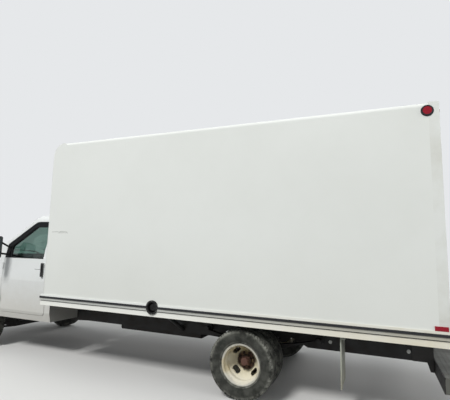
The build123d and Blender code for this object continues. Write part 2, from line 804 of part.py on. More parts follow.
# Deck: a slab on cross sills and two long sills that stand on the frame, with a floor board between
# the walls.
deck = block(
    (BOX_REAR_X + REAR_FRAME_DEPTH, BOX_FRONT_X),
    (SIDE_RAIL_WIDTH - BOX_HALF_WIDTH, BOX_HALF_WIDTH - SIDE_RAIL_WIDTH),
    (DECK_BOTTOM_Z, DECK_TOP_Z),
)
sill_reach = BOX_HALF_WIDTH - SIDE_RAIL_WIDTH
for number in range(CROSS_SILLS):
    station = FIRST_SILL_X + number * CROSS_SILL_PITCH
    deck += block(
        (station, station + CROSS_SILL_WIDTH),
        (-sill_reach, sill_reach),
        (CROSS_SILL_BOTTOM_Z, DECK_BOTTOM_Z),
    )
for side in (1, -1):
    inner_y = side * (RAIL_OUTER_Y - RAIL_FLANGE / 2)
    deck += block(
        (FRAME_REAR_X, RAIL_STEP_X - HANGER_HALF_X),
        (inner_y - LONG_SILL_WIDTH / 2, inner_y + LONG_SILL_WIDTH / 2),
        (RAIL_TOP_Z, CROSS_SILL_BOTTOM_Z),
    )
board_half = inner_half - BOARD_GAP
board = block(
    (BOX_REAR_X + REAR_FRAME_DEPTH, BOX_FRONT_X - BOX_WALL - BOARD_GAP),
    (-board_half, board_half),
    (DECK_TOP_Z, DECK_TOP_Z + BOARD_WALL),
)
board_corners = board.edges().filter_by(Axis.Z).group_by(Axis.X)[-1]
deck += chamfer(board_corners, LINER_CHAMFER)
deck -= block(
    (FILLER_X - FILLER_RADIUS, FILLER_X + FILLER_RADIUS),
    (BOX_HALF_WIDTH - 2 * FILLER_DEPTH, FAR),
    (0, FAR),
)
parts["box_floor"] = deck


# Side rails: one extrusion a side, with a groove for the rubber strip and a skirt under it.
face_y = BOX_HALF_WIDTH
back_y = BOX_HALF_WIDTH - SIDE_RAIL_WIDTH
rail_outline = [
    (back_y, SKIRT_BOTTOM_Z),
    (face_y, SKIRT_BOTTOM_Z),
    (face_y, SKIRT_TOP_Z),
    (face_y - GROOVE_DEPTH, SKIRT_TOP_Z),
    (face_y - GROOVE_DEPTH, GROOVE_TOP_Z),
    (face_y + RAIL_PROUD, GROOVE_TOP_Z),
    (face_y + RAIL_PROUD, RUB_BOTTOM_Z),
    (face_y, RUB_BOTTOM_Z),
    (face_y, RUB_TOP_Z),
    (face_y + RAIL_PROUD / 2, RUB_TOP_Z),
    (face_y + RAIL_PROUD / 2, LIP_TOP_Z),
    (back_y, LIP_TOP_Z),
]
rail_x = (BOX_REAR_X, BOX_FRONT_X + RAIL_PROUD)
side_rail = across(rail_outline, rail_x)
right_rail = mirrored(side_rail)
parts["side_rails"] = separate([side_rail - filler_hole, right_rail])
strip = block(rail_x, (face_y, face_y + RUB_PROUD), (RUB_BOTTOM_Z, RUB_TOP_Z))
right_strip = mirrored(strip)
parts["rub_strips"] = separate([strip - filler_hole, right_strip])


# Rear portal: two posts, a header and a sill around the doorway.
portal_x = (BOX_REAR_X, BOX_REAR_X + REAR_FRAME_DEPTH)
portal_bottom = SKIRT_BOTTOM_Z
portal = block(portal_x, (-BOX_HALF_WIDTH, BOX_HALF_WIDTH), (LIP_TOP_Z, BOX_TOP_Z))
portal += block(
    portal_x,
    (SIDE_RAIL_WIDTH - BOX_HALF_WIDTH, BOX_HALF_WIDTH - SIDE_RAIL_WIDTH),
    (portal_bottom, LIP_TOP_Z),
)
portal -= block(
    (-FAR, FAR),
    (POST_WIDTH - BOX_HALF_WIDTH, BOX_HALF_WIDTH - POST_WIDTH),
    (DECK_TOP_Z, BOX_TOP_Z - HEADER_HEIGHT),
)
parts["rear_frame"] = portal


# Roll-up door: flat sections with a groove between each pair, in one plane inside the portal.
door_top = BOX_TOP_Z - HEADER_HEIGHT
section = (door_top - DECK_TOP_Z) / DOOR_SECTIONS
door_half = BOX_HALF_WIDTH - POST_WIDTH
door_x = BOX_REAR_X + DOOR_INSET
shutter = block((door_x, door_x + DOOR_SECTION_WALL), (-door_half, door_half), (DECK_TOP_Z, door_top))
for number in range(1, DOOR_SECTIONS):
    seam_z = DECK_TOP_Z + number * section
    shutter -= block(
        (door_x - 1, door_x + DOOR_SECTION_GROOVE),
        (-FAR, FAR),
        (seam_z - DOOR_SECTION_GROOVE / 2, seam_z + DOOR_SECTION_GROOVE / 2),
    )
shutter += block(
    (door_x - DOOR_INSET / 2, door_x),
    (-LATCH_HALF_WIDTH, LATCH_HALF_WIDTH),
    (DECK_TOP_Z + LATCH_RISE, DECK_TOP_Z + LATCH_RISE + LATCH_HEIGHT),
)
parts["roll_up_door"] = shutter


# Rear step: a folded channel with its open side down, on two hangers from the frame's ends.
step = block((STEP_REAR_X, STEP_FRONT_X), (-STEP_HALF_WIDTH, STEP_HALF_WIDTH), (STEP_BOTTOM_Z, STEP_TOP_Z))
step -= block(
    (STEP_REAR_X + STEP_WALL, STEP_FRONT_X - STEP_WALL),
    (STEP_WALL - STEP_HALF_WIDTH, STEP_HALF_WIDTH - STEP_WALL),
    (0, STEP_TOP_Z - STEP_WALL),
)
hanger_outline = [
    (STEP_FRONT_X, STEP_BOTTOM_Z),
    (STEP_FRONT_X, SKIRT_BOTTOM_Z),
    (FRAME_REAR_X + HANGER_FOOT_X, SKIRT_BOTTOM_Z),
    (FRAME_REAR_X + HANGER_FOOT_X, RAIL_BOTTOM_Z),
    (FRAME_REAR_X, RAIL_BOTTOM_Z),
    (STEP_FRONT_X + HANGER_FOOT_X / 4, STEP_BOTTOM_Z),
]
for side in (1, -1):
    y_low = side * (RAIL_OUTER_Y + HANGER_WALL / 2) - HANGER_WALL / 2
    step += side_prism(hanger_outline, (y_low, y_low + HANGER_WALL))
parts["rear_bumper"] = step


# Mud flaps hang from angles under the deck, behind the twins.
flap_y = BOX_HALF_WIDTH - SIDE_RAIL_WIDTH - FLAP_CLEARANCE
flap = block(
    (FLAP_X, FLAP_X + FLAP_WALL),
    (flap_y - FLAP_WIDTH, flap_y),
    (FLAP_BOTTOM_Z, FLAP_TOP_Z),
)
flap += block(
    (FLAP_X - FLAP_BRACKET_WALL, FLAP_X + FLAP_WALL),
    (flap_y - FLAP_WIDTH, flap_y),
    (FLAP_TOP_Z, DECK_BOTTOM_Z),
)
parts["mud_flaps"] = separate(both_sides(flap))


# Red side markers and the red side reflectors, in one node with the lamps on the header and brow.
def lens(radius):
    """A round lens with its back on the plane y = 0."""
    return turned([(0, 0), (radius, 0), (radius, MARKER_PROUD), (0, MARKER_PROUD)], ROUND_SIDES)


side_lamp = Pos(SIDE_MARKER_X, BOX_HALF_WIDTH, SIDE_MARKER_Z) * lens(MARKER_RADIUS)
reflector = block(
    (REFLECTOR_X - REFLECTOR_LENGTH / 2, REFLECTOR_X + REFLECTOR_LENGTH / 2),
    (BOX_HALF_WIDTH, BOX_HALF_WIDTH + REFLECTOR_PROUD),
    (REFLECTOR_Z - REFLECTOR_HEIGHT / 2, REFLECTOR_Z + REFLECTOR_HEIGHT / 2),
)
lamps = both_sides(side_lamp) + both_sides(reflector)
top_lamp_z = BOX_TOP_Z - HEADER_HEIGHT / 2
for lamp_y in TOP_LAMP_Y:
    lamps.append(block(
        (BOX_REAR_X - MARKER_PROUD, BOX_REAR_X),
        (lamp_y - TOP_LAMP_LENGTH / 2, lamp_y + TOP_LAMP_LENGTH / 2),
        (top_lamp_z - TOP_LAMP_HEIGHT / 2, top_lamp_z + TOP_LAMP_HEIGHT / 2),
    ))
parts["marker_lamps"] = separate(lamps)
tail_lamps = []
for lamp_y in TAIL_LAMP_Y:
    lamp = Pos(BOX_REAR_X, lamp_y, TAIL_LAMP_Z) * Rot(0, 0, 90) * lens(TAIL_LAMP_RADIUS)
    tail_lamps += both_sides(lamp)
parts["tail_lamps"] = separate(tail_lamps)


# Fuel filler: a black cup let into the left rail, with its cap, neck and pipe to the tank.
filler = Pos(FILLER_X, 0, FILLER_Z) * turned([
    (FILLER_CUP_RADIUS - FILLER_WALL, BOX_HALF_WIDTH - FILLER_DEPTH + FILLER_WALL),
    (FILLER_CUP_RADIUS - FILLER_WALL, BOX_HALF_WIDTH + FILLER_PROUD),
    (FILLER_RADIUS, BOX_HALF_WIDTH + FILLER_PROUD),
    (FILLER_RADIUS, BOX_HALF_WIDTH - SIDE_RAIL_WIDTH),
    (FILLER_CUP_RADIUS, BOX_HALF_WIDTH - SIDE_RAIL_WIDTH),
    (FILLER_CUP_RADIUS, BOX_HALF_WIDTH - FILLER_DEPTH),
    (0, BOX_HALF_WIDTH - FILLER_DEPTH),
    (0, BOX_HALF_WIDTH - FILLER_PROUD),
    (FILLER_CAP_RADIUS, BOX_HALF_WIDTH - FILLER_PROUD),
    (FILLER_CAP_RADIUS, BOX_HALF_WIDTH - FILLER_DEPTH + FILLER_WALL),
], ROUND_SIDES)
pipe_end_y = BOX_HALF_WIDTH - FILLER_DEPTH
filler_pipe = pipe(
    [
        (FILLER_X, pipe_end_y, FILLER_Z - FILLER_PIPE_DROP),
        (FILLER_X, pipe_end_y - FILLER_RUN, FILLER_Z - FILLER_PIPE_DROP),
        (FILLER_X, TANK_OUTER_Y + FILLER_RUN, TANK_INLET_Z),
        (FILLER_X, TANK_OUTER_Y, TANK_INLET_Z),
    ],
    FILLER_PIPE_RADIUS,
)
parts["fuel_filler"] = filler + filler_pipe


# Fuel tank between the frame rails, left of the shaft, with its top on the crossmembers' straps.
tank = block((TANK_REAR_X, TANK_FRONT_X), (TANK_INNER_Y, TANK_OUTER_Y), (TANK_BOTTOM_Z, TANK_TOP_Z))
parts["fuel_tank"] = fillet(tank.edges().filter_by(Axis.X), TANK_EDGE_RADIUS)


# Cab: one body shape, made inside and outside from the same sections, then cut at its real seams.
def cab_section(inset, x):
    low = CAB_BOTTOM_Z if inset == 0 else CAB_BOTTOM_Z - 2 * CAB_WALL
    left = [
        (SILL_HALF_WIDTH - inset, low),
        (SILL_HALF_WIDTH - inset, CAB_BOTTOM_Z),
        (LOWER_TURN_HALF_WIDTH - inset, LOWER_TURN_Z),
        (CREASE_HALF_WIDTH - inset, CREASE_Z),
        (BELT_HALF_WIDTH - inset, BELT_Z),
        (CANT_RAIL_HALF_WIDTH - inset, CANT_RAIL_Z),
        (ROOF_CORNER_HALF_WIDTH - inset, ROOF_CORNER_Z - inset),
    ]
    if inset == 0:
        left = left[1:]
    right = [(-py, pz) for py, pz in reversed(left)]
    side_points = [(0, py, pz) for py, pz in left]
    far_points = [(0, py, pz) for py, pz in right]
    roof = ThreePointArc(side_points[-1], (0, 0, ROOF_TOP_Z - inset), far_points[0])
    edges = Polyline(*side_points).edges() + [roof] + Polyline(*far_points).edges()
    edges += [Line(far_points[-1], side_points[0])]
    face = make_face(edges)
    corners = [point for point in face.vertices() if abs(point.Z - ROOF_CORNER_Z + inset) < 1]
    face = fillet(corners, ROOF_CORNER_RADIUS - inset)
    return Pos(x[0], 0, 0) * extrude(face, x[1] - x[0], dir=(1, 0, 0))


def leaning_cylinder(x, z, slope_deg, radius, inset):
    """A cylinder whose top line passes through (x, z) on the middle plane and slopes down forward."""
    slope = radians(slope_deg)
    along = Vector(cos(slope), 0, -sin(slope))
    normal = Vector(sin(slope), 0, cos(slope))
    centre = Vector(x, 0, z) - normal * radius
    return Plane(origin=centre, z_dir=along) * Cylinder(radius - inset, 3 * FAR)


def hood_surface(inset):
    return leaning_cylinder(HOOD_REAR_X, HOOD_REAR_Z, HOOD_SLOPE_DEG, HOOD_CROWN_RADIUS, inset)


def screen_surface(inset):
    return leaning_cylinder(SCREEN_TOP_X, SCREEN_TOP_Z, SCREEN_SLOPE_DEG, SCREEN_RADIUS, inset)


def nose_plan(inset):
    """The lower body seen from above, bowed at the front with round corners."""
    half = CREASE_HALF_WIDTH - inset
    bow = Pos(CAB_FRONT_X - NOSE_BOW_RADIUS, 0) * Circle(NOSE_BOW_RADIUS - inset)
    length = CAB_FRONT_X - CAB_REAR_X
    strip = Pos(CAB_REAR_X + length / 2, 0) * Rectangle(length + NOSE_CORNER_RADIUS, 2 * half)
    outline = bow & strip
    outline = fillet(outline.vertices().group_by(Axis.X)[-1], NOSE_CORNER_RADIUS - inset)
    return extrude(outline, FAR)


def nose_side(inset):
    points = [
        (CAB_REAR_X - FAR, 0),
        (CAB_FRONT_X + inset, 0),
        (CAB_FRONT_X + inset, NOSE_FACE_Z - inset / 2),
        (NOSE_SHOULDER_X - inset, NOSE_SHOULDER_Z - inset / 2),
        (NOSE_SHOULDER_X - FAR / 2, NOSE_SHOULDER_Z + FAR / 2),
        (CAB_REAR_X - FAR, FAR),
    ]
    return side_prism(points, (-FAR, FAR))


def cab_volume(inset):
    section = cab_section(inset, (CAB_REAR_X + inset, CAB_FRONT_X + CAB_WALL))
    lower = section & nose_plan(inset) & hood_surface(inset) & nose_side(inset)
    upper = section & screen_surface(inset) & block((0, 2 * FAR), (-FAR, FAR), (PILLAR_FOOT_Z, FAR))
    return lower + upper


cab_hollow = cab_volume(CAB_WALL)
cab_body = cab_volume(0) - cab_hollow
frame_gap = RAIL_OUTER_Y + SEAM
cab_body -= block((0, CAB_REAR_X + 2 * CAB_WALL), (-frame_gap, frame_gap), (0, CAB_RAIL_TOP_Z))
cab_body -= block((BUMPER_REAR_X - SEAM, 2 * FAR), (-FAR, FAR), (0, BUMPER_TOP_Z + SEAM))


def door_outline(gap):
    """The door from the side. With a gap it is the opening that the door lies in."""
    points = [
        (DOOR_REAR_X, DOOR_BOTTOM_Z),
        (DOOR_FRONT_X, DOOR_BOTTOM_Z),
        (DOOR_FRONT_X, DOOR_PILLAR_Z),
        (DOOR_HEADER_X, DOOR_TOP_Z),
        (DOOR_REAR_X, DOOR_TOP_Z),
    ]
    face = make_face(Polyline(*points, close=True))
    low = face.vertices().group_by(Axis.Y)[0]
    face = chamfer(low, DOOR_CORNER_CUT)
    header = face.vertices().group_by(Axis.Y)[-1].sort_by(Axis.X)[-1]
    face = fillet(header, DOOR_HEADER_RADIUS)
    if gap:
        face = offset(face, gap)
    face = Plane.XZ.offset(-DOOR_PLANE_Y) * face
    return extrude(face, DOOR_CUT_DEPTH, dir=(0, -1, 0), taper=DOOR_TAPER_DEG)


def window_outline():
    points = [
        (WINDOW_REAR_X, WINDOW_BOTTOM_Z),
        (WINDOW_FRONT_X, WINDOW_BOTTOM_Z),
        (WINDOW_FRONT_X, WINDOW_FRONT_Z),
        (WINDOW_HEADER_X, WINDOW_TOP_Z),
        (WINDOW_REAR_TOP_X, WINDOW_TOP_Z),
    ]
    face = make_face(Polyline(*points, close=True))
    face = fillet(face.vertices(), WINDOW_CORNER_RADIUS)
    return extrude(Plane.XZ * face, FAR, dir=(0, 1, 0))


left_half = block((0, 2 * FAR), (0, FAR), (0, FAR))
door = cab_body & door_outline(0)
glass_x = (DOOR_REAR_X, DOOR_FRONT_X)
glass_sheet = cab_section(GLASS_INSET, glass_x) - cab_section(GLASS_INSET + GLASS_WALL, glass_x)
door_glass = glass_sheet & window_outline() & left_half
door -= window_outline()
handle = block(
    (HANDLE_X - HANDLE_WIDTH / 2, HANDLE_X + HANDLE_WIDTH / 2),
    (CREASE_HALF_WIDTH - CAB_WALL / 2, CREASE_HALF_WIDTH + HANDLE_PROUD),
    (HANDLE_BOTTOM_Z, HANDLE_TOP_Z),
)
handle = fillet(handle.edges().filter_by(Axis.Y), HANDLE_CORNER_RADIUS)
hinge_x = DOOR_FRONT_X + SEAM / 2
hinge_y = CREASE_HALF_WIDTH + 1
barrel_radius = SEAM / 2 - RUN_GAP
wing_leaves = []
for low_z in DOOR_HINGE_Z:
    z_range = (low_z, low_z + DOOR_HINGE_HEIGHT)
    leaf_y = (hinge_y - HINGE_LEAF_DEPTH, hinge_y + barrel_radius)
    bridge_y = (hinge_y - barrel_radius, hinge_y + barrel_radius)
    door += rod((hinge_x, hinge_y, z_range[0]), (hinge_x, hinge_y, z_range[1]), barrel_radius)
    door += block((hinge_x - HINGE_LEAF_WIDTH, hinge_x - SEAM), leaf_y, z_range)
    door += block((hinge_x - SEAM - 1, hinge_x), bridge_y, z_range)
    wing_x = DOOR_FRONT_X + SEAM
    wing_leaves.append(block((wing_x, wing_x + HINGE_LEAF_WIDTH), leaf_y, z_range))
parts["door_left"] = door + handle
parts["door_glass_left"] = door_glass
opening = door_outline(SEAM)
cab_body = cab_body - opening - mirrored(opening)


# Hood: the panel between the wings, with its edges square to its own slope. It turns on a barrel at
# each rear corner, in line with the top of the seam there.
slope = radians(HOOD_SLOPE_DEG)
hood_plane = Plane(
    origin=(HOOD_REAR_X, 0, HOOD_REAR_Z),
    x_dir=(cos(slope), 0, -sin(slope)),
    z_dir=(sin(slope), 0, cos(slope)),
)


def hood_outline(gap):
    points = [
        (HOOD_EDGE_U, HOOD_REAR_HALF_WIDTH),
        (HOOD_EDGE_U, HOOD_CORNER_HALF_WIDTH),
        (HOOD_CENTRE_U, HOOD_CENTRE_HALF_WIDTH),
        (HOOD_CENTRE_U, -HOOD_CENTRE_HALF_WIDTH),
        (HOOD_EDGE_U, -HOOD_CORNER_HALF_WIDTH),
        (HOOD_EDGE_U, -HOOD_REAR_HALF_WIDTH),
        (HOOD_NOSE_U, -HOOD_NOSE_HALF_WIDTH),
        (HOOD_NOSE_U, HOOD_NOSE_HALF_WIDTH),
    ]
    face = make_face(Polyline(*points, close=True))
    if gap:
        face = offset(face, gap, kind=Kind.INTERSECTION)
    face = hood_plane.offset(HOOD_CUT_RISE) * face
    return extrude(face, HOOD_CUT_DEPTH, dir=-hood_plane.z_dir, taper=HOOD_TAPER_DEG)


hood = cab_body & hood_outline(0)
cab_body -= hood_outline(SEAM)
edge_u = HOOD_EDGE_U + (HOOD_CUT_RISE + HOOD_HINGE_DROP) * tan(radians(HOOD_TAPER_DEG))
hood_hinge_u = edge_u - SEAM / 2
cowl_leaves = []
for side in (1, -1):
    y_range = sorted((side * (HOOD_CORNER_HALF_WIDTH + SEAM), side * (HOOD_REAR_HALF_WIDTH - SEAM)))
    z_range = (-HOOD_HINGE_DROP - HINGE_LEAF_DEPTH, -HOOD_HINGE_DROP)
    barrel = rod(
        (hood_hinge_u, y_range[0], -HOOD_HINGE_DROP),
        (hood_hinge_u, y_range[1], -HOOD_HINGE_DROP),
        barrel_radius,
    )
    web_range = (-HOOD_HINGE_DROP - barrel_radius, -HOOD_HINGE_DROP + barrel_radius)
    web = block((hood_hinge_u, hood_hinge_u + SEAM), y_range, web_range)
    hood += hood_plane * (barrel + web)
    cowl_leaf = block((edge_u - SEAM - HINGE_LEAF_WIDTH, edge_u - SEAM), y_range, z_range)
    cowl_leaves.append(hood_plane * cowl_leaf)
parts["hood"] = hood


# Nose panel with the grille and the lamps, then the wings, and what is left is the cab itself.
panel_block = block((PANEL_REAR_X, FAR * 2), (-PANEL_HALF_WIDTH, PANEL_HALF_WIDTH), (PANEL_BOTTOM_Z, FAR))
lamp_block = block((PANEL_REAR_X, FAR * 2), (LAMP_INNER_Y, LAMP_OUTER_Y), (LAMP_BOTTOM_Z, LAMP_TOP_Z))
grille_hole = block(
    (PANEL_REAR_X, FAR * 2),
    (-GRILLE_HALF_WIDTH, GRILLE_HALF_WIDTH),
    (GRILLE_BOTTOM_Z, GRILLE_TOP_Z),
)
panel = cab_body & panel_block
bars = panel & grille_hole
grille_step = (GRILLE_TOP_Z - GRILLE_BOTTOM_Z) / (GRILLE_BARS + 1)
rib_step = 2 * GRILLE_HALF_WIDTH / (GRILLE_RIBS + 1)
panel = panel - grille_hole - lamp_block - mirrored(lamp_block)
for number in range(1, GRILLE_BARS + 1):
    bar_z = GRILLE_BOTTOM_Z + number * grille_step
    panel += bars & block(
        (0, FAR * 2),
        (-FAR, FAR),
        (bar_z - GRILLE_BAR_HEIGHT / 2, bar_z + GRILLE_BAR_HEIGHT / 2),
    )
for number in range(1, GRILLE_RIBS + 1):
    rib_y = -GRILLE_HALF_WIDTH + number * rib_step
    panel += bars & block(
        (0, FAR * 2),
        (rib_y - GRILLE_RIB_WIDTH / 2, rib_y + GRILLE_RIB_WIDTH / 2),
        (0, FAR),
    )
parts["grille"] = panel
lamp = cab_body & lamp_block
parts["headlamps"] = separate(both_sides(lamp))
cab_body -= panel_block

arch = at_front_axle(turned([(0, -FAR), (ARCH_RADIUS, -FAR), (ARCH_RADIUS, FAR), (0, FAR)], ARCH_SIDES))
cab_body -= arch
wing_zone = block((DOOR_FRONT_X + SEAM, FAR * 2), (-FAR, FAR), (0, FAR))
wing_zone += block(
    (DOOR_FRONT_X - CAB_WALL, DOOR_FRONT_X + CAB_WALL),
    (-FAR, FAR),
    (DOOR_BOTTOM_Z + CAB_WALL, FAR),
)
wing_zone -= block((0, PILLAR_FOOT_X), (-FAR, FAR), (PILLAR_FOOT_Z, FAR))
wing_zone -= block(
    (0, HOOD_REAR_X + HOOD_CENTRE_U),
    (-HOOD_REAR_HALF_WIDTH, HOOD_REAR_HALF_WIDTH),
    (PILLAR_FOOT_Z - 2 * CAB_WALL, FAR),
)
wings = cab_body & wing_zone
parts["fender_left"] = (wings & left_half) + wing_leaves
cab_body -= wing_zone

screen_outline = [
    (-SCREEN_BOTTOM_HALF_WIDTH, SCREEN_CUT_BOTTOM_Z),
    (SCREEN_BOTTOM_HALF_WIDTH, SCREEN_CUT_BOTTOM_Z),
    (SCREEN_TOP_HALF_WIDTH, SCREEN_CUT_TOP_Z),
    (-SCREEN_TOP_HALF_WIDTH, SCREEN_CUT_TOP_Z),
]
screen_cut = across(screen_outline, (DOOR_HEADER_X, CAB_FRONT_X))
screen_cut = fillet(screen_cut.edges().filter_by(Axis.X), SCREEN_CORNER_RADIUS)
windshield = screen_surface(GLASS_INSET) - screen_surface(GLASS_INSET + GLASS_WALL)
parts["windshield"] = windshield & screen_cut
parts["cab_shell"] = cab_body - screen_cut + cowl_leaves


# Front bumper: a bar bent round the nose, on the rails' ends.
def bumper_plan(inset):
    half = BUMPER_HALF_WIDTH - inset
    bow = Pos(BUMPER_FRONT_X - NOSE_BOW_RADIUS, 0) * Circle(NOSE_BOW_RADIUS - inset)
    strip = Pos(BUMPER_FRONT_X - BUMPER_STRIP, 0) * Rectangle(4 * BUMPER_STRIP, 2 * half)
    outline = bow & strip
    return fillet(outline.vertices().group_by(Axis.X)[-1], BUMPER_CORNER_RADIUS - inset)


bar_section = bumper_plan(0) - bumper_plan(BUMPER_WALL)
bumper = Pos(0, 0, BUMPER_BOTTOM_Z) * extrude(bar_section, BUMPER_TOP_Z - BUMPER_BOTTOM_Z)
bumper &= block((BUMPER_REAR_X, 2 * FAR), (-FAR, FAR), (0, FAR))
for side in (1, -1):
    centre = side * (RAIL_OUTER_Y - RAIL_FLANGE / 2)
    horn = block(
        (FRAME_FRONT_X, BUMPER_FRONT_X - BUMPER_WALL),
        (centre - RAIL_FLANGE / 2, centre + RAIL_FLANGE / 2),
        (CAB_RAIL_BOTTOM_Z + BUMPER_WALL, CAB_RAIL_TOP_Z),
    )
    bumper += horn & extrude(bumper_plan(BUMPER_WALL), FAR)
parts["front_bumper"] = bumper


# Cab floor, toe board and engine cover, standing on the frame.
floor_half = CREASE_HALF_WIDTH
floor = block((CAB_REAR_X + CAB_WALL, FIREWALL_X), (-floor_half, floor_half), (CAB_RAIL_TOP_Z, FLOOR_TOP_Z))
floor += block(
    (FIREWALL_X - FIREWALL_WALL, FIREWALL_X),
    (-floor_half, floor_half),
    (CAB_RAIL_TOP_Z, FIREWALL_TOP_Z),
)
floor += block(
    (TUNNEL_REAR_X, FIREWALL_X),
    (-TUNNEL_HALF_WIDTH, TUNNEL_HALF_WIDTH),
    (FLOOR_TOP_Z, TUNNEL_TOP_Z),
)
floor &= cab_hollow
for side in (1, -1):
    edge_y = sorted((side * (LOWER_TURN_HALF_WIDTH - CAB_WALL - 2 * SEAM), side * FAR))
    floor -= block((DOOR_REAR_X - 3 * SEAM, DOOR_FRONT_X + 3 * SEAM), edge_y, (0, FAR))
parts["cab_floor"] = floor


# Dashboard and steering column.
dash_outline = [
    (FIREWALL_X - FIREWALL_WALL, DASH_BOTTOM_Z),
    (FIREWALL_X - FIREWALL_WALL, FIREWALL_TOP_Z),
    (DASH_REAR_X + DASH_BROW, FIREWALL_TOP_Z),
    (DASH_REAR_X, DASH_TOP_Z - DASH_BROW),
    (DASH_REAR_X, DASH_BOTTOM_Z + DASH_BROW),
    (DASH_REAR_X + DASH_BROW, DASH_BOTTOM_Z),
]
tilt = radians(STEERING_TILT_DEG)
column_axis = Vector(-cos(tilt), 0, sin(tilt))
wheel_centre = Vector(STEERING_X, SEAT_Y, STEERING_Z)
dash = side_prism(dash_outline, (-DASH_HALF_WIDTH, DASH_HALF_WIDTH))
column_end = wheel_centre - column_axis * (STEERING_HUB_DEPTH + RUN_GAP)
column_root = wheel_centre - column_axis * COLUMN_LENGTH
parts["dashboard"] = dash + bar(column_root, column_end, COLUMN_RADIUS)


# Steering wheel: grip, hub and three spokes in its own plane, then set on the column.
def steering_wheel():
    turns = [2 * pi * number / STEERING_GRIP_SIDES for number in range(STEERING_GRIP_SIDES)]
    grip = [
        (STEERING_RIM_RADIUS + STEERING_GRIP_RADIUS * cos(turn), STEERING_GRIP_RADIUS * sin(turn))
        for turn in turns
    ]
    boss = [
        (0, 0),
        (STEERING_HUB_RADIUS, 0),
        (STEERING_HUB_RADIUS, -STEERING_HUB_DEPTH),
        (0, -STEERING_HUB_DEPTH),
    ]
    wheel = turned(grip, ROUND_SIDES) + turned(boss, ROUND_SIDES)
    spoke = block(
        (0, STEERING_RIM_RADIUS),
        (-STEERING_GRIP_RADIUS / 2, STEERING_GRIP_RADIUS / 2),
        (-STEERING_GRIP_RADIUS, STEERING_GRIP_RADIUS),
    )
    for turn_deg in SPOKE_TURNS_DEG:
        wheel += Rot(0, -turn_deg, 0) * spoke
    plane = Plane(origin=wheel_centre, x_dir=(0, 1, 0), z_dir=column_axis)
    return plane * Rot(90, 0, 0) * wheel


parts["steering_wheel"] = steering_wheel()


# Seats: cushion, back and headrest, each pair one solid on a plinth.
def seat(y):
    half = SEAT_WIDTH / 2
    rear_x = CAB_REAR_X + CAB_WALL + SEAT_REAR_GAP
    front_x = rear_x + SEAT_LENGTH
    back_x = rear_x + SEAT_BACK_WALL
    cushion_bottom_z = SEAT_BASE_Z - SEAT_CUSHION
    outline = [
        (rear_x + SEAT_RECLINE, cushion_bottom_z),
        (front_x, cushion_bottom_z),
        (front_x, SEAT_BASE_Z),
        (back_x + SEAT_RECLINE, SEAT_BASE_Z - SEAT_DISH),
        (back_x, SEAT_BACK_TOP_Z),
        (rear_x, SEAT_BACK_TOP_Z),
    ]
    pads = side_prism(outline, (y - half, y + half))
    rest = block(
        (rear_x, rear_x + HEADREST_WALL),
        (y - HEADREST_HALF_WIDTH, y + HEADREST_HALF_WIDTH),
        (SEAT_BACK_TOP_Z, HEADREST_TOP_Z),
    )
    plinth = block(
        (back_x, front_x - SEAT_BACK_WALL),
        (y - half / 2, y + half / 2),
        (FLOOR_TOP_Z, cushion_bottom_z),
    )
    return pads + rest + plinth


parts["seats"] = separate([seat(SEAT_Y), seat(-SEAT_Y)])


# Engine and gearbox: one plain block between the rails with its gearbox behind and below the floor.
engine = block(
    (ENGINE_REAR_X, ENGINE_FRONT_X),
    (-ENGINE_HALF_WIDTH, ENGINE_HALF_WIDTH),
    (ENGINE_BOTTOM_Z, ENGINE_TOP_Z),
)
gearbox = block(
    (GEARBOX_REAR_X, ENGINE_REAR_X),
    (-GEARBOX_HALF_WIDTH, GEARBOX_HALF_WIDTH),
    (GEARBOX_Z - GEARBOX_DROP, GEARBOX_Z + GEARBOX_RISE),
)
engine += gearbox
for mount_x in (ENGINE_MOUNT_X, GEARBOX_MOUNT_X):
    engine += block(
        (mount_x, mount_x + CROSSMEMBER_WIDTH),
        (-RAIL_OUTER_Y + RAIL_WALL, RAIL_OUTER_Y - RAIL_WALL),
        (CAB_RAIL_BOTTOM_Z + RAIL_WALL, GEARBOX_Z - GEARBOX_DROP + RAIL_WALL),
    )
parts["engine_block"] = engine


# Propeller shaft from the gearbox to the axle's pinion.
shaft_start = (PINION_LENGTH + SHAFT_JOINT_GAP, 0, AXLE_Z)
shaft_end = (GEARBOX_REAR_X - SHAFT_JOINT_GAP, 0, GEARBOX_Z)
parts["driveshaft"] = bar(shaft_start, shaft_end, SHAFT_RADIUS)


# Exhaust on the right: front pipe, muffler and a tail pipe that leaves ahead of the rear wheels.
muffler = bar(
    (MUFFLER_REAR_X, EXHAUST_Y, EXHAUST_Z),
    (MUFFLER_FRONT_X, EXHAUST_Y, EXHAUST_Z),
    MUFFLER_RADIUS,
)
front_pipe = bar(
    (MUFFLER_FRONT_X - PIPE_OVERLAP, EXHAUST_Y, EXHAUST_Z),
    (EXHAUST_FRONT_X, EXHAUST_Y, EXHAUST_Z),
    EXHAUST_RADIUS,
)
tail_pipe = pipe(
    [
        (MUFFLER_REAR_X + PIPE_OVERLAP, EXHAUST_Y, EXHAUST_Z),
        (TAIL_PIPE_X + TAIL_PIPE_BEND, EXHAUST_Y, EXHAUST_Z),
        (TAIL_PIPE_X, EXHAUST_Y - TAIL_PIPE_BEND, EXHAUST_Z),
        (TAIL_PIPE_X, -TAIL_PIPE_END_Y, TAIL_PIPE_Z),
    ],
    EXHAUST_RADIUS,
)
exhaust = front_pipe + muffler + tail_pipe
member_bottom_z = RAIL_TOP_Z - RAIL_WALL - CROSSMEMBER_HEIGHT
for station in CROSSMEMBER_X:
    if MUFFLER_REAR_X + MUFFLER_RADIUS < station < MUFFLER_FRONT_X - MUFFLER_RADIUS:
        exhaust += block(
            (station - STRAP_WALL, station),
            (EXHAUST_Y - STRAP_WIDTH / 2, EXHAUST_Y + STRAP_WIDTH / 2),
            (EXHAUST_Z, member_bottom_z + STRAP_WIDTH),
        )
parts["exhaust"] = exhaust


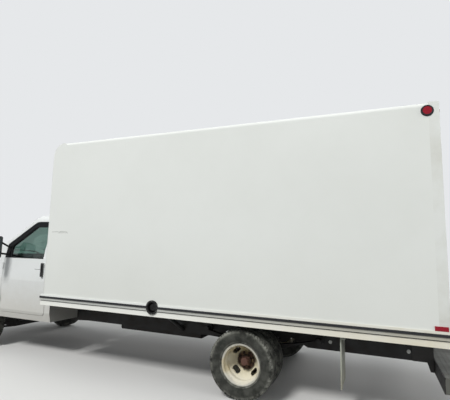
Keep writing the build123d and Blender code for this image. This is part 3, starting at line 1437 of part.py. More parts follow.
# Mirrors: a tall head on two arms from each door.
mirror_head = block(
    (MIRROR_X - MIRROR_DEPTH / 2, MIRROR_X + MIRROR_DEPTH / 2),
    (MIRROR_OUT_Y, MIRROR_OUT_Y + MIRROR_WIDTH),
    (MIRROR_Z - MIRROR_HEIGHT / 2, MIRROR_Z + MIRROR_HEIGHT / 2),
)
mirror_head = fillet(mirror_head.edges().filter_by(Axis.X), MIRROR_CORNER_RADIUS)
for rise in (MIRROR_ARM_SPREAD, -MIRROR_ARM_SPREAD):
    foot = (MIRROR_X, MIRROR_FOOT_Y, MIRROR_ARM_Z + rise / 2)
    tip = (MIRROR_X, MIRROR_OUT_Y + MIRROR_ARM_GRIP, MIRROR_Z + rise)
    mirror_head += bar(foot, tip, MIRROR_ARM_RADIUS)
mirror_head -= cab_section(0, (CAB_REAR_X, CAB_FRONT_X))
parts["mirror_left"] = mirror_head


# The right side repeats the left.
for name in list(parts):
    if name.endswith("_left") and name != "box_side_left":
        parts[name[:-len("left")] + "right"] = mirrored(parts[name])


os.makedirs("parts", exist_ok=True)
for name, shape in parts.items():
    export_step(Pos(-ORIGIN_X, 0, 0) * shape, f"parts/{name}.step")
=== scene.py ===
import json
import math

import bmesh
import bpy
from mathutils import Matrix, Vector


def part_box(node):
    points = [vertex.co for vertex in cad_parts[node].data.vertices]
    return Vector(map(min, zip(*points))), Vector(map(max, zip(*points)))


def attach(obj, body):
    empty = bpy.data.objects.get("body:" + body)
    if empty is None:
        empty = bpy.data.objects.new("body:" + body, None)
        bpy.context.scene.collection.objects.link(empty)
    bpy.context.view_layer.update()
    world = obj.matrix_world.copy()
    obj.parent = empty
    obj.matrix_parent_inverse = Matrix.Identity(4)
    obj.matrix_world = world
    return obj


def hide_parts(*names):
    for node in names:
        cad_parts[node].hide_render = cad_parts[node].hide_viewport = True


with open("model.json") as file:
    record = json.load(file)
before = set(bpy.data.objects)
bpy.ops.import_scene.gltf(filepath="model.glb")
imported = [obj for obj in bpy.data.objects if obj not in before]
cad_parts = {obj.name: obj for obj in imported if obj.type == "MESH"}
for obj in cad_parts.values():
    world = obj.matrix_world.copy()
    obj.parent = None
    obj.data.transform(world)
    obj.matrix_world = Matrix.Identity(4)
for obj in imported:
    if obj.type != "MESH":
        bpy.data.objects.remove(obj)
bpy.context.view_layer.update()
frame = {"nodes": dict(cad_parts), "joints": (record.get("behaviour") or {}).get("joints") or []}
nodes = frame["nodes"]
joints = {joint["name"]: joint for joint in frame["joints"]}
rear_axle = Vector(joints["rear_wheel_left_spin"]["pos_m"])
front_axle = Vector(joints["front_wheel_left_spin"]["pos_m"])

# Camera
# It stands off the truck's rear left quarter at eye height, turned a little forward and up, and it
# leans by a degree and a half, as a hand-held picture does.
CAMERA_FROM_AXLE = (-1.406, 5.076, 1.583)
YAW = math.radians(22.541)
PITCH = math.radians(7.817)
ROLL = math.radians(1.53)
LENS_MM = 29.46
SENSOR_MM = 36
FARTHEST = 500


def place(x, y, z):
    """A point x ahead of the rear axle, y to the left of the truck's middle and z above the road."""
    return Vector((rear_axle.x + x, y, z))


def put(name, data):
    """A new object of this data, in the scene."""
    made = bpy.data.objects.new(name, data)
    bpy.context.scene.collection.objects.link(made)
    return made


camera = put("camera", bpy.data.cameras.new("camera"))
heading = Matrix.Rotation(math.pi + YAW, 4, "Z")
tilt = Matrix.Rotation(math.pi / 2 + PITCH, 4, "X")
lean = Matrix.Rotation(ROLL, 4, "Z")
camera.matrix_world = Matrix.Translation(place(*CAMERA_FROM_AXLE)) @ heading @ tilt @ lean
camera.data.lens = LENS_MM
camera.data.sensor_fit = "HORIZONTAL"
camera.data.sensor_width = SENSOR_MM
camera.data.clip_end = FARTHEST
bpy.context.scene.camera = camera
bpy.context.scene.view_settings.view_transform = "Standard"


# Studio: a pale floor under soft light
# The floor and the backdrop are pale to the camera and in reflections, and darker as light, so that
# the truck's underside keeps its shadow. Far from the truck the floor fades into the backdrop.
def linear(code):
    """An sRGB hex colour, such as "a0b0c0", as linear red, green, blue and alpha."""
    shares = [int(code[start:start + 2], 16) / 255 for start in (0, 2, 4)]
    return [c / 12.92 if c <= 0.04045 else ((c + 0.055) / 1.055) ** 2.4 for c in shares] + [1]


def feed(node, links):
    """Feeds a shader node's named inputs, each with a number, a hex colour, an output of another
    node, or another node, which stands for its first output in use."""
    for key, value in links.items():
        if isinstance(value, bpy.types.Node):
            value = next(output for output in value.outputs if output.enabled)
        if isinstance(value, bpy.types.NodeSocket):
            node.id_data.links.new(value, node.inputs[key])
        else:
            node.inputs[key].default_value = linear(value) if isinstance(value, str) else value


def add(tree, kind, *inputs, stops=(), **settings):
    """Adds one shader node. kind may end in its operation or, for a mix, its type of data. inputs
    feeds the inputs in use, in order, unless it is one dict, which names them. stops gives a colour
    ramp's places, each with a hex colour or a share of white."""
    kind, _, mode = kind.partition(" ")
    made = tree.nodes.new("ShaderNode" + kind)
    if mode:
        setattr(made, "data_type" if kind == "Mix" else "operation", mode)
    for key, value in settings.items():
        setattr(made, key, value)
    if inputs and isinstance(inputs[0], dict):
        feed(made, inputs[0])
    else:
        in_use = [number for number, socket in enumerate(made.inputs) if socket.enabled]
        feed(made, dict(zip(in_use, inputs)))
    for number, (stop, tone) in enumerate(stops):
        points = made.color_ramp.elements
        point = points[number] if number < 2 else points.new(stop)
        point.position = stop
        point.color = linear(tone) if isinstance(tone, str) else [tone] * 3 + [1]
    return made


def new_material(name):
    made = bpy.data.materials.new(name)
    made.use_nodes = True
    return made


def graph(material):
    """A material's node tree, its shader, and the place on the object in metres."""
    tree = material.node_tree
    return tree, tree.nodes["Principled BSDF"], add(tree, "TexCoord").outputs["Object"]


def seen_directly(tree):
    """1 for rays from the camera, a mirror or glass, 0 for rays that carry light."""
    path = add(tree, "LightPath").outputs
    first = add(tree, "Math MAXIMUM", path["Is Camera Ray"], path["Is Glossy Ray"])
    return add(tree, "Math MAXIMUM", first, path["Is Transmission Ray"])


# Poured concrete, trowelled and sealed: an even matt grey, a little darker than the backdrop.
FLOOR_COLOUR = "d4d3d0"
FLOOR_AS_LIGHT = "62615f"
FLOOR_RADIUS = 90
FADE_START = 6
FADE_END = 17
BACKDROP_COLOUR = "e6e8ea"
WORLD_AS_LIGHT = "c9ced2"
WORLD_STRENGTH = 0.68
sheet = bmesh.new()
bmesh.ops.create_circle(sheet, cap_ends=True, segments=96, radius=FLOOR_RADIUS)
floor = put("floor", bpy.data.meshes.new("floor"))
sheet.to_mesh(floor.data)
sheet.free()
concrete = new_material("pale_floor")
tree, near, spot = graph(concrete)
direct = seen_directly(tree)
feed(near, {"Base Color": add(tree, "Mix RGBA", direct, FLOOR_AS_LIGHT, FLOOR_COLOUR), "Roughness": 0.85})
far = add(tree, "Emission", BACKDROP_COLOUR)
distance = add(tree, "VectorMath LENGTH", spot)
fade = add(tree, "MapRange", distance, FADE_START, FADE_END, interpolation_type="SMOOTHSTEP")
blend = add(tree, "MixShader", add(tree, "Math MULTIPLY", fade, direct), near, far)
feed(tree.nodes["Material Output"], {"Surface": blend})
floor.data.materials.append(concrete)

world = bpy.data.worlds.new("studio")
bpy.context.scene.world = world
world.use_nodes = True
tree = world.node_tree
tree.nodes.clear()
direct = seen_directly(tree)
sky = add(tree, "Mix RGBA", direct, WORLD_AS_LIGHT, BACKDROP_COLOUR)
power = add(tree, "MapRange", direct, 0, 1, WORLD_STRENGTH, 1.0)
add(tree, "OutputWorld", add(tree, "Background", sky, power))


# Square soft lamps, which no mirror or glass shows. Each has its place, what it is turned to, its
# side in metres and its watts.
LAMPS = (
    ("key_lamp", (4, 20, 21), (0.3, 0, 1.5), 6, 6500),
    ("front_lamp", (15, -3, 5), (1, 0, 1), 7, 450),
    ("right_lamp", (-3, -15, 5.5), (0, 0, 1.2), 8, 900),
    ("rear_lamp", (-15, 3, 6), (-1, 0, 1.5), 7, 700),
)
for name, spot, aim, size, watts in LAMPS:
    lamp = put(name, bpy.data.lights.new(name, "AREA"))
    lamp.data.size = size
    lamp.data.energy = watts
    lamp.location = spot
    lamp.rotation_euler = (Vector(aim) - Vector(spot)).to_track_quat("-Z", "Y").to_euler()
    lamp.visible_glossy = False
    lamp.visible_transmission = False


# Load box: side panels, roof and front cap
# Flat plywood panels faced with glass fibre under white gel coat, a moulded cap in front and a pale
# lining inside. The gel coat has dulled a little, and something has scraped the left front corner.
def surface(name, colour, roughness, metallic=0.0, patches=None, film=None, grain=None, coat=0.0):
    """A worn finish on a plain base colour. patches is a colour, a size in metres and a share for
    cloudy patches; film is a colour, a low and a high z and a share for a tone that thickens downwards;
    grain is a size in metres and a depth in metres for the surface's own relief."""
    made = new_material(name)
    tree, shader, spot = graph(made)
    if patches:
        tone, size, share = patches
        cloud = add(tree, "TexNoise", spot, 1 / size, 5, 0.6)
        amount = add(tree, "MapRange", cloud, 0.4, 0.7, 0, share)
        colour = add(tree, "Mix RGBA", amount, colour, tone)
        roughness = add(tree, "MapRange", cloud, 0.3, 0.7, roughness * 0.85, min(1, roughness * 1.2))
    if film:
        tone, low, high, share = film
        height = add(tree, "SeparateXYZ", spot).outputs["Z"]
        speckle = add(tree, "TexNoise", spot, 9, 8, 0.7)
        edge = add(tree, "MapRange", speckle, 0, 1, -0.2, 0.2)
        ragged = add(tree, "Math ADD", height, edge)
        depth = add(tree, "MapRange", ragged, high, low, 0, share, interpolation_type="SMOOTHSTEP")
        colour = add(tree, "Mix RGBA", depth, colour, tone)
    if grain:
        size, depth = grain
        pits = add(tree, "TexNoise", spot, 1 / size, 3)
        feed(shader, {"Normal": add(tree, "Bump", {"Height": pits, "Distance": depth})})
    feed(shader, {"Base Color": colour, "Roughness": roughness, "Metallic": metallic, "Coat Weight": coat})
    return made


def within(material, low, high, both_sides=False, wobble=0.0):
    """1 between two corners, 0 outside them. both_sides mirrors the space to the right side, and
    wobble is how far, in metres, its edges wander."""
    tree, shader, spot = graph(material)
    if wobble:
        noise = add(tree, "TexNoise", spot, 14, 4).outputs["Color"]
        shift = add(tree, "VectorMath SUBTRACT", noise, (0.5, 0.5, 0.5))
        scaled = add(tree, "VectorMath MULTIPLY", shift, (wobble * 2, 0, wobble * 2))
        spot = add(tree, "VectorMath ADD", spot, scaled)
    if both_sides:
        parts = add(tree, "SeparateXYZ", spot).outputs
        outward = add(tree, "Math ABSOLUTE", parts[1])
        spot = add(tree, "CombineXYZ", parts[0], outward, parts[2])
    low = Vector(low)
    high = Vector(high)
    away = add(tree, "VectorMath SUBTRACT", spot, (low + high) / 2)
    away = add(tree, "VectorMath ABSOLUTE", away)
    over = add(tree, "VectorMath SUBTRACT", away, (high - low) / 2)
    parts = add(tree, "SeparateXYZ", over).outputs
    most = add(tree, "Math MAXIMUM", parts[0], parts[1])
    most = add(tree, "Math MAXIMUM", most, parts[2])
    return add(tree, "Math LESS_THAN", most, 0)


def cover(material, amount, tone, **sockets):
    """Lays another colour, and other values of the named shader sockets, over part of a material."""
    tree = material.node_tree
    shader = tree.nodes["Principled BSDF"]
    for name, value in {"Base_Color": tone, **sockets}.items():
        name = name.replace("_", " ")
        socket = shader.inputs[name]
        under = socket.links[0].from_socket if socket.links else socket.default_value
        kind = "Mix RGBA" if isinstance(value, str) else "Mix"
        feed(shader, {name: add(tree, kind, amount, under, value)})


def dress(material, *names):
    """Puts a material on CAD nodes."""
    for name in names:
        for socket in nodes[name].material_slots:
            socket.material = material


BOX_HALF_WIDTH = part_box("box_side_left")[1].y
BOX_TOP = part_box("box_roof")[1].z
BOX_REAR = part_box("rear_frame")[0].x
BOX_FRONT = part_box("box_front_cap")[1].x
PANEL_WALL = 0.022
ROOF_WALL = 0.064
WALL_FACE = BOX_HALF_WIDTH - PANEL_WALL
LINING_HALF_WIDTH = WALL_FACE + 0.004
LINING_FRONT = BOX_FRONT - 0.2
LINING_LOW = 0.8
SCUFF_LOW = 1.25
SCUFF_HIGH = 1.29
# Gel coat off a flat mould: an even half gloss, clouded over metres, on panels that wave slowly
# because they are glued to plywood, and a little greyer towards the bottom.
gel_coat = surface("gel_coat", "e2e4df", 0.55, patches=("dadcd6", 1.6, 0.6),
                   film=("d6d6cc", 0.95, 1.9, 0.2), grain=(0.9, 0.0004))
# Inside, bare fibreglass lining is creamier and duller, with a line of scuffs where loads rub it.
lining = within(gel_coat, (BOX_REAR, -LINING_HALF_WIDTH, LINING_LOW),
                (LINING_FRONT, LINING_HALF_WIDTH, BOX_TOP - 0.02))
cover(gel_coat, lining, "cfcbbf", Roughness=0.65)
scuffs = within(gel_coat, (BOX_REAR, -LINING_HALF_WIDTH, SCUFF_LOW),
                (LINING_FRONT, LINING_HALF_WIDTH, SCUFF_HIGH), wobble=0.05)
cover(gel_coat, scuffs, "a8a294")
# Each scrape is given by its rear and front stations and by its lower and upper edges.
SCRAPES = ((2.52, 2.8, 1.776, 1.781), (2.51, 2.68, 1.764, 1.767), (2.6, 2.66, 1.786, 1.79))
for rear_x, front_x, low, high in SCRAPES:
    scrape = within(gel_coat, place(rear_x, 1.1, low), place(front_x, 1.3, high), wobble=0.012)
    cover(gel_coat, scrape, "8d8b84", Roughness=0.8)
dress(gel_coat, "box_side_left", "box_side_right", "box_front_cap", "box_roof")


def piece(name, work, material, body="truck", at=(0, 0, 0), sharp=32):
    """Makes an object of a bmesh, smooth but for its sharp edges, and lets it ride on a body."""
    bmesh.ops.recalc_face_normals(work, faces=work.faces)
    mesh = bpy.data.meshes.new(name)
    work.to_mesh(mesh)
    work.free()
    mesh.polygons.foreach_set("use_smooth", [True] * len(mesh.polygons))
    mesh.set_sharp_from_angle(angle=math.radians(sharp))
    mesh.materials.append(material)
    made = put(name, mesh)
    made.location = at
    made.modifiers.new("even_normals", "WEIGHTED_NORMAL").keep_sharp = True
    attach(made, body)
    return made


def sweep(work, rings, round_trip=True):
    """Joins rings of equally many points by faces. Unless the last ring joins the first one, faces
    close the two ends."""
    rings = [[work.verts.new(point) for point in ring] for ring in rings]
    pairs = zip(rings, rings[1:] + rings[:1]) if round_trip else zip(rings, rings[1:])
    for ring, after in pairs:
        for here in range(len(ring)):
            there = (here + 1) % len(ring)
            work.faces.new((ring[here], ring[there], after[there], after[here]))
    if not round_trip:
        work.faces.new(rings[0])
        work.faces.new(rings[-1])


def turns(count, offset=0.0):
    """Equal steps round a circle, from an offset given in steps, each as an angle's cosine and sine."""
    angles = [math.tau * (number + offset) / count for number in range(count)]
    return [(math.cos(angle), math.sin(angle)) for angle in angles]


def cylinder(work, centre, axis, radius, length, sides=24, tip=None, dome=0.0):
    """A closed cylinder from a centre along an axis, with a smaller tip and a domed end if asked."""
    turn = Vector(axis).to_track_quat("Z", "Y").to_matrix()
    tip = radius if tip is None else tip
    steps = [(0, radius), (length, tip)]
    if dome:
        steps += [(length + dome * 0.7, tip * 0.72), (length + dome, tip * 0.3)]
    rings = [[Vector(centre) + turn @ Vector((size * c, size * s, reach)) for c, s in turns(sides)]
             for reach, size in steps]
    sweep(work, rings, False)


CAP_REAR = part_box("box_front_cap")[0].x
CAP_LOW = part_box("box_front_cap")[0].z
BROW_RADIUS = 0.188
BROW_STEPS = 16
CORNER_RADIUS = 0.045


def cap_block(inset, half_width):
    """The cap as a block, inset for its hollow: its side outline, from the lower rear corner round
    the brow, drawn across the box."""
    roof = BOX_TOP - (ROOF_WALL if inset else 0)
    face = BOX_FRONT - inset
    radius = BROW_RADIUS - inset
    points = [(CAP_REAR, CAP_LOW - inset), (face, CAP_LOW - inset)]
    for step in range(BROW_STEPS + 1):
        angle = math.pi / 2 * step / BROW_STEPS
        points.append((face - radius + radius * math.cos(angle), roof - radius + radius * math.sin(angle)))
    points.append((CAP_REAR, roof))
    work = bmesh.new()
    sweep(work, [[(x, y, z) for x, z in points] for y in (-half_width, half_width)], False)
    return work


def cut_out(blank, cutter):
    """The mesh that is left when one bmesh is cut out of another."""
    holders = []
    for work in (blank, cutter):
        bmesh.ops.recalc_face_normals(work, faces=work.faces)
        holders.append(put("cut", bpy.data.meshes.new("cut")))
        work.to_mesh(holders[-1].data)
        work.free()
    cut = holders[0].modifiers.new("cut", "BOOLEAN")
    cut.operation = "DIFFERENCE"
    cut.solver = "EXACT"
    cut.object = holders[1]
    ready = holders[0].evaluated_get(bpy.context.evaluated_depsgraph_get())
    mesh = bpy.data.meshes.new_from_object(ready)
    for holder in holders:
        bpy.data.objects.remove(holder)
    return mesh


TOUCH = 0.001
shell = cap_block(0, BOX_HALF_WIDTH)
rims = []
for rim in shell.edges:
    first, second = (vertex.co for vertex in rim.verts)
    low = max(first.z, second.z) < CAP_LOW + TOUCH
    rear = max(first.x, second.x) < CAP_REAR + TOUCH
    if first.y == second.y and not low and not rear:
        rims.append(rim)
bmesh.ops.bevel(shell, geom=rims, offset=CORNER_RADIUS, segments=6, profile=0.5, affect="EDGES")
hollow = cap_block(PANEL_WALL, WALL_FACE)
for vertex in hollow.verts:
    if vertex.co.x < CAP_REAR + TOUCH:
        vertex.co.x -= PANEL_WALL
work = bmesh.new()
work.from_mesh(cut_out(shell, hollow))
cap = piece("front_cap", work, gel_coat)
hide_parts("box_front_cap")

SIDES = (("left", 1), ("right", -1))
RIVET_RADIUS = 0.006
RIVET_PITCH = 0.1
work = bmesh.new()
for side, sign in SIDES:
    for number in range(int((BOX_FRONT - BOX_REAR - 0.5) / RIVET_PITCH)):
        spot = (BOX_REAR + 0.15 + number * RIVET_PITCH, sign * (BOX_HALF_WIDTH - 0.06), BOX_TOP)
        cylinder(work, spot, (0, 0, 1), RIVET_RADIUS, 0.0012, 8, dome=0.0016)
# Mill-finished aluminium, oxidised: a soft grey metal gloss with duller spots.
aluminium = surface("dull_aluminium", "c3c5c4", 0.42, metallic=0.85, patches=("a8a8a2", 0.06, 0.5))
piece("box_rivets", work, aluminium)


# Side rails and rubbing strips
# Aluminium extrusions along the deck's edges, enamelled white but for a bare channel that holds a
# black rubber strip. The white is tinted yellow in blotches, more so towards the rear.
RAIL_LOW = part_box("side_rails")[0].z
RAIL_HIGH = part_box("side_rails")[1].z
# Each band's lower edge above the road, and its tone. The dark grey band at 0.8405 is painted shade
# in the groove above the skirt.
RAIL_BANDS = ((0.782, "eeeee6"), (0.8405, "35352f"), (0.8485, "b9bab4"), (0.8785, "1c1c1c"),
              (0.9015, "e9ebe6"))
rail_enamel = surface("rail_enamel", "e6e5da", 0.38)
tree, shader, spot = graph(rail_enamel)
parts = add(tree, "SeparateXYZ", spot).outputs
height = add(tree, "MapRange", parts["Z"], RAIL_LOW, RAIL_HIGH)
stops = [((z - RAIL_LOW) / (RAIL_HIGH - RAIL_LOW), tone) for z, tone in RAIL_BANDS]
bands = add(tree, "ValToRGB", height, stops=stops)
bands.color_ramp.interpolation = "CONSTANT"
rearward = add(tree, "MapRange", parts["X"], rear_axle.x + 0.9, BOX_REAR, 0, 0.6)
blotch = add(tree, "TexNoise", spot, 3.5, 6)
rear_tint = add(tree, "Math MULTIPLY", rearward, blotch)
rear_tint = add(tree, "Math MULTIPLY", rear_tint, 1.4)
yellow_tinted = add(tree, "Mix RGBA", rear_tint, bands, "d9c79c", blend_type="MULTIPLY")
feed(shader, {"Base Color": yellow_tinted})
dress(rail_enamel, "side_rails")
# Extruded rubber: dull black with greyed clouds. Its skin is finer than the grain drawn here, which
# is as coarse as shows.
strip_rubber = surface("strip_rubber", "141416", 0.62, patches=("35353a", 0.08, 0.6), grain=(0.004, 0.0003))
dress(strip_rubber, "rub_strips")


# Load floor
# Laminated hardwood boards, worn pale along the middle, on cross sills of black painted steel.
BOARD_WIDTH = 0.038
BOARD_LENGTH = 1.3
DECK_LOW = 0.9
# Oiled oak strips 38 mm wide, planed: a matt brown with long fibres and dark glue lines.
oak = surface("oak_boards", "9b7a52", 0.6)
tree, shader, spot = graph(oak)
boards = add(tree, "TexBrick", {"Vector": spot, "Color1": "a3835a", "Color2": "846541", "Mortar": "4a3a28",
                                "Scale": 1.0, "Mortar Size": 0.0012, "Brick Width": BOARD_LENGTH,
                                "Row Height": BOARD_WIDTH})
long_way = add(tree, "Mapping", {"Vector": spot, "Scale": (2.5, 120, 1)})
fibre = add(tree, "TexNoise", long_way, 1.0, 5).outputs["Color"]
grained = add(tree, "Mix RGBA", 0.5, boards, fibre, blend_type="SOFT_LIGHT")
feed(shader, {"Base Color": grained})
cover(oak, within(oak, (-9, -9, 0), (9, 9, DECK_LOW)), "131211", Roughness=0.7)
dress(oak, "box_floor")


# Rear portal and roll-up door
# A welded steel portal in white enamel, and a door of seven plywood sections faced with white sheet.
# Loading has scuffed the posts and the sill, and the door is grimy towards its foot.
def slab(work, low, high, edge=0.003, lean=None):
    """A block with rounded edges between two corners. lean turns it about its middle."""
    low = Vector(low)
    high = Vector(high)
    block = bmesh.new()
    turn = lean.to_4x4() if lean else Matrix.Identity(4)
    bmesh.ops.create_cube(block, size=1, matrix=Matrix.Diagonal((*(high - low), 1)))
    if edge:
        bmesh.ops.bevel(block, geom=block.edges[:], offset=edge, segments=2, affect="EDGES")
    bmesh.ops.transform(block, matrix=Matrix.Translation((low + high) / 2) @ turn, verts=block.verts)
    kept = bpy.data.meshes.new("block")
    block.to_mesh(kept)
    block.free()
    work.from_mesh(kept)
    bpy.data.meshes.remove(kept)


def tube(work, points, radius, sides=8, closed=False, flat=1.0):
    """A bar along points, with mitred corners. flat below 1 makes its section an oval."""
    points = [Vector(point) for point in points]
    rings = []
    side = None
    for number, point in enumerate(points):
        before = points[number - 1] if closed or number else point
        after = points[(number + 1) % len(points)] if closed or number + 1 < len(points) else point
        along = ((point - before).normalized() + (after - point).normalized()).normalized()
        side = (along.orthogonal() if side is None else side - side.dot(along) * along).normalized()
        other = along.cross(side)
        rings.append([point + side * c * radius + other * s * radius * flat for c, s in turns(sides)])
    sweep(work, rings, closed)


# Sprayed enamel over steel has some gloss. The door's roller-coated sheet is flatter, with a fine
# emboss that is drawn at 20 mm so that it shows. Both go brown towards the foot.
dress(surface("portal_enamel", "dfe1dc", 0.38, patches=("cfcfc6", 0.35, 0.7),
              film=("8f8776", 0.72, 1.15, 0.5), coat=0.1), "rear_frame")
dress(surface("door_sheet", "dcdfda", 0.42, patches=("cccdc4", 0.5, 0.6),
              film=("a09a8c", 0.9, 1.35, 0.5), grain=(0.02, 0.0003)), "roll_up_door")
# Electroplated zinc: a bright metal that has clouded to grey.
zinc = surface("zinc_plate", "9a9c9a", 0.4, metallic=0.9, patches=("77766f", 0.03, 0.7))
DOOR_FACE, _, DOOR_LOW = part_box("roll_up_door")[0]
_, DOOR_HALF, DOOR_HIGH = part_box("roll_up_door")[1]
DOOR_SECTIONS = 7
# The latch's plate and its bar: rear face, front face, half width, foot and top.
LATCH = ((-0.008, 0.002, 0.045, 0.075, 0.115), (-0.014, -0.006, 0.012, 0.02, 0.115))
HANDLE_PLACES = (-0.55, 0.55)
HANDLE_Z = DOOR_LOW + 0.18
HANDLE_BOW = ((0.014, -0.055), (-0.012, -0.05), (-0.012, 0.05), (0.014, 0.055))
HINGE_PLACES = (-0.98, -0.33, 0.33, 0.98)
HINGE_FACE = rear_axle.x - 1.928
SEAL_WIDTH = 0.03
work = bmesh.new()
for rear, front, half, low, high in LATCH:
    slab(work, (DOOR_FACE + rear, -half, DOOR_LOW + low), (DOOR_FACE + front, half, DOOR_LOW + high))
for y in HANDLE_PLACES:
    slab(work, (DOOR_FACE + 0.006, y - 0.07, HANDLE_Z - 0.02),
         (DOOR_FACE + 0.014, y + 0.07, HANDLE_Z + 0.02))
    tube(work, [(DOOR_FACE + x, y + along, HANDLE_Z) for x, along in HANDLE_BOW], 0.006, 10)
for number in range(1, DOOR_SECTIONS):
    z = DOOR_LOW + number * (DOOR_HIGH - DOOR_LOW) / DOOR_SECTIONS
    for y in HINGE_PLACES:
        slab(work, (HINGE_FACE - 0.004, y - 0.03, z - 0.045), (HINGE_FACE, y + 0.03, z + 0.045), 0.001)
        tube(work, [(HINGE_FACE + 0.001, y - 0.032, z), (HINGE_FACE + 0.001, y + 0.032, z)], 0.005, 10)
piece("door_fittings", work, zinc)
work = bmesh.new()
half = DOOR_HALF - 0.03
slab(work, (DOOR_FACE + 0.004, -half, DOOR_LOW), (DOOR_FACE + 0.026, half, DOOR_LOW + 0.014), 0.004)
for side, sign in SIDES:
    ends = sorted((sign * (DOOR_HALF - 0.012), sign * (DOOR_HALF - 0.012 + SEAL_WIDTH)))
    slab(work, (DOOR_FACE - 0.006, ends[0], DOOR_LOW), (DOOR_FACE + 0.002, ends[1], DOOR_HIGH), 0.002)
piece("door_seals", work, strip_rubber)


# Marker, clearance and tail lamps
# Moulded red acrylic with a fluted inside, held in black rubber grommets. The reflectors low on the
# sides are the same red, with a fine prism grid behind their face.
LENS_FLUTE = 0.004
red_acrylic = surface("red_acrylic", "a01428", 0.3)
tree, shader, spot = graph(red_acrylic)
flutes = add(tree, "TexVoronoi", spot, 1 / LENS_FLUTE, distance="CHEBYCHEV")
amount = add(tree, "MapRange", flutes, 0.2, 0.7)
fluted = add(tree, "Mix RGBA", amount, "a01428", "6e0a1a")
feed(shader, {"Base Color": fluted, "Specular IOR Level": 0.3})
dress(red_acrylic, "marker_lamps", "tail_lamps")


def lathe(work, profile, start=0.0, end=math.tau, steps=96, lean=0.0, shift=0.0):
    """Turns a closed outline of (y, radius) points about the Y axis. lean turns each point further
    the further out it is, and shift moves the outline along the axis."""
    whole = end - start >= math.tau
    rings = []
    for step in range(steps if whole else steps + 1):
        angle = start + (end - start) * step / steps
        ring = []
        for y, radius in profile:
            around = angle + lean * y
            ring.append((radius * math.cos(around), y + shift, radius * math.sin(around)))
        rings.append(ring)
    sweep(work, rings, whole)


MARKER_X = -1.882
MARKER_Z = 2.967
GROMMET = ((0.0, 0.0405), (0.0135, 0.0405), (0.015, 0.043), (0.0115, 0.05), (0.005, 0.0555), (0.0, 0.057))
for side, sign in SIDES:
    work = bmesh.new()
    lathe(work, [(sign * y, radius) for y, radius in GROMMET], steps=48)
    piece(f"marker_grommet_{side}", work, strip_rubber,
          at=place(MARKER_X, sign * BOX_HALF_WIDTH, MARKER_Z))
TAIL_LAMP_PLACES = (0.9, 1.03)
TAIL_LAMP_Z = 0.854
TAIL_RING = ((0.046, 0.0), (0.0525, 0.0), (0.06, 0.004), (0.06, 0.01), (0.053, 0.0142), (0.046, 0.0142))
work = bmesh.new()
ring_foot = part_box("tail_lamps")[0].x + 0.012
for side, sign in SIDES:
    for y in TAIL_LAMP_PLACES:
        sweep(work, [[(ring_foot - depth, sign * y + radius * c, TAIL_LAMP_Z + radius * s)
                      for radius, depth in TAIL_RING] for c, s in turns(40)])
piece("tail_lamp_grommets", work, strip_rubber, sharp=50)


# Fuel filler
# A black plastic cup let into the side, with a screwed ring, a grip cap and its tether.
FILLER_X = 1.096
FILLER_Z = 0.89
SCREW_CIRCLE = 0.074
CAP_RADIUS = 0.042
CAP_DEEP = 0.052
CAP_TURN = math.radians(35)
# Moulded polyethylene with a spark-eroded skin: a deep matt black, drawn with a grain of 1.2 mm.
filler_plastic = surface("filler_plastic", "0a0a0a", 0.6, patches=("161616", 0.03, 0.6),
                         grain=(0.0012, 0.0001))
dress(filler_plastic, "fuel_filler")
filler_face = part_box("fuel_filler")[1].y
work = bmesh.new()
for c, s in turns(6, 0.5):
    spot = place(FILLER_X + SCREW_CIRCLE * c, filler_face, FILLER_Z + SCREW_CIRCLE * s)
    cylinder(work, spot, (0, 1, 0), 0.0045, 0.001, 10, dome=0.0014)
piece("filler_screws", work, zinc)
work = bmesh.new()
lathe(work, [(0, 0.001), (0, CAP_RADIUS * 0.98), (0.014, CAP_RADIUS * 0.95), (0.018, CAP_RADIUS * 0.86),
             (0.018, 0.001)], steps=36)
for c, s in turns(18):
    cylinder(work, (CAP_RADIUS * 0.93 * c, 0.001, CAP_RADIUS * 0.93 * s), (0, 1, 0), 0.0032, 0.014, 8)
slab(work, (-0.035, 0.016, -0.006), (0.035, 0.031, 0.006), 0.004, Matrix.Rotation(CAP_TURN, 3, "Y"))
piece("filler_cap_grip", work, filler_plastic,
      at=place(FILLER_X, filler_face - CAP_DEEP, FILLER_Z))


# Cab shell, doors, wings and hood
# Pressed steel in two-pack white enamel with clear coat. The door's window frame is black, and road
# dirt and chalky wear thicken towards the sills.
SCREEN_SLOPE = (0.481, 0, 0.877)
LINING_DEEP = 0.12
cab_enamel, door_paint = [
    surface(name, "e0e2e0", 0.36, patches=("d8dad7", 0.8, 0.5), film=("b5ad9c", 0.44, 1.25, 0.5),
            grain=(0.5, 0.0006), coat=0.12) for name in ("cab_enamel", "cab_door_enamel")]
# Grey cloth lines the shell inside, up to a plane a little below the windscreen's slope.
tree, shader, spot = graph(cab_enamel)
height = add(tree, "VectorMath DOT_PRODUCT", spot, SCREEN_SLOPE)
limit = Vector(SCREEN_SLOPE).dot(place(3.609, 0, 1.952)) - LINING_DEEP
below_screen = add(tree, "Math LESS_THAN", height, limit)
inside = within(cab_enamel, place(2.99, -0.83, 0.62), place(4.12, 0.83, 2.03))
cover(cab_enamel, add(tree, "Math MULTIPLY", inside, below_screen), "8d8f92", Roughness=0.85)
dress(cab_enamel, "cab_shell", "fender_left", "fender_right", "hood")
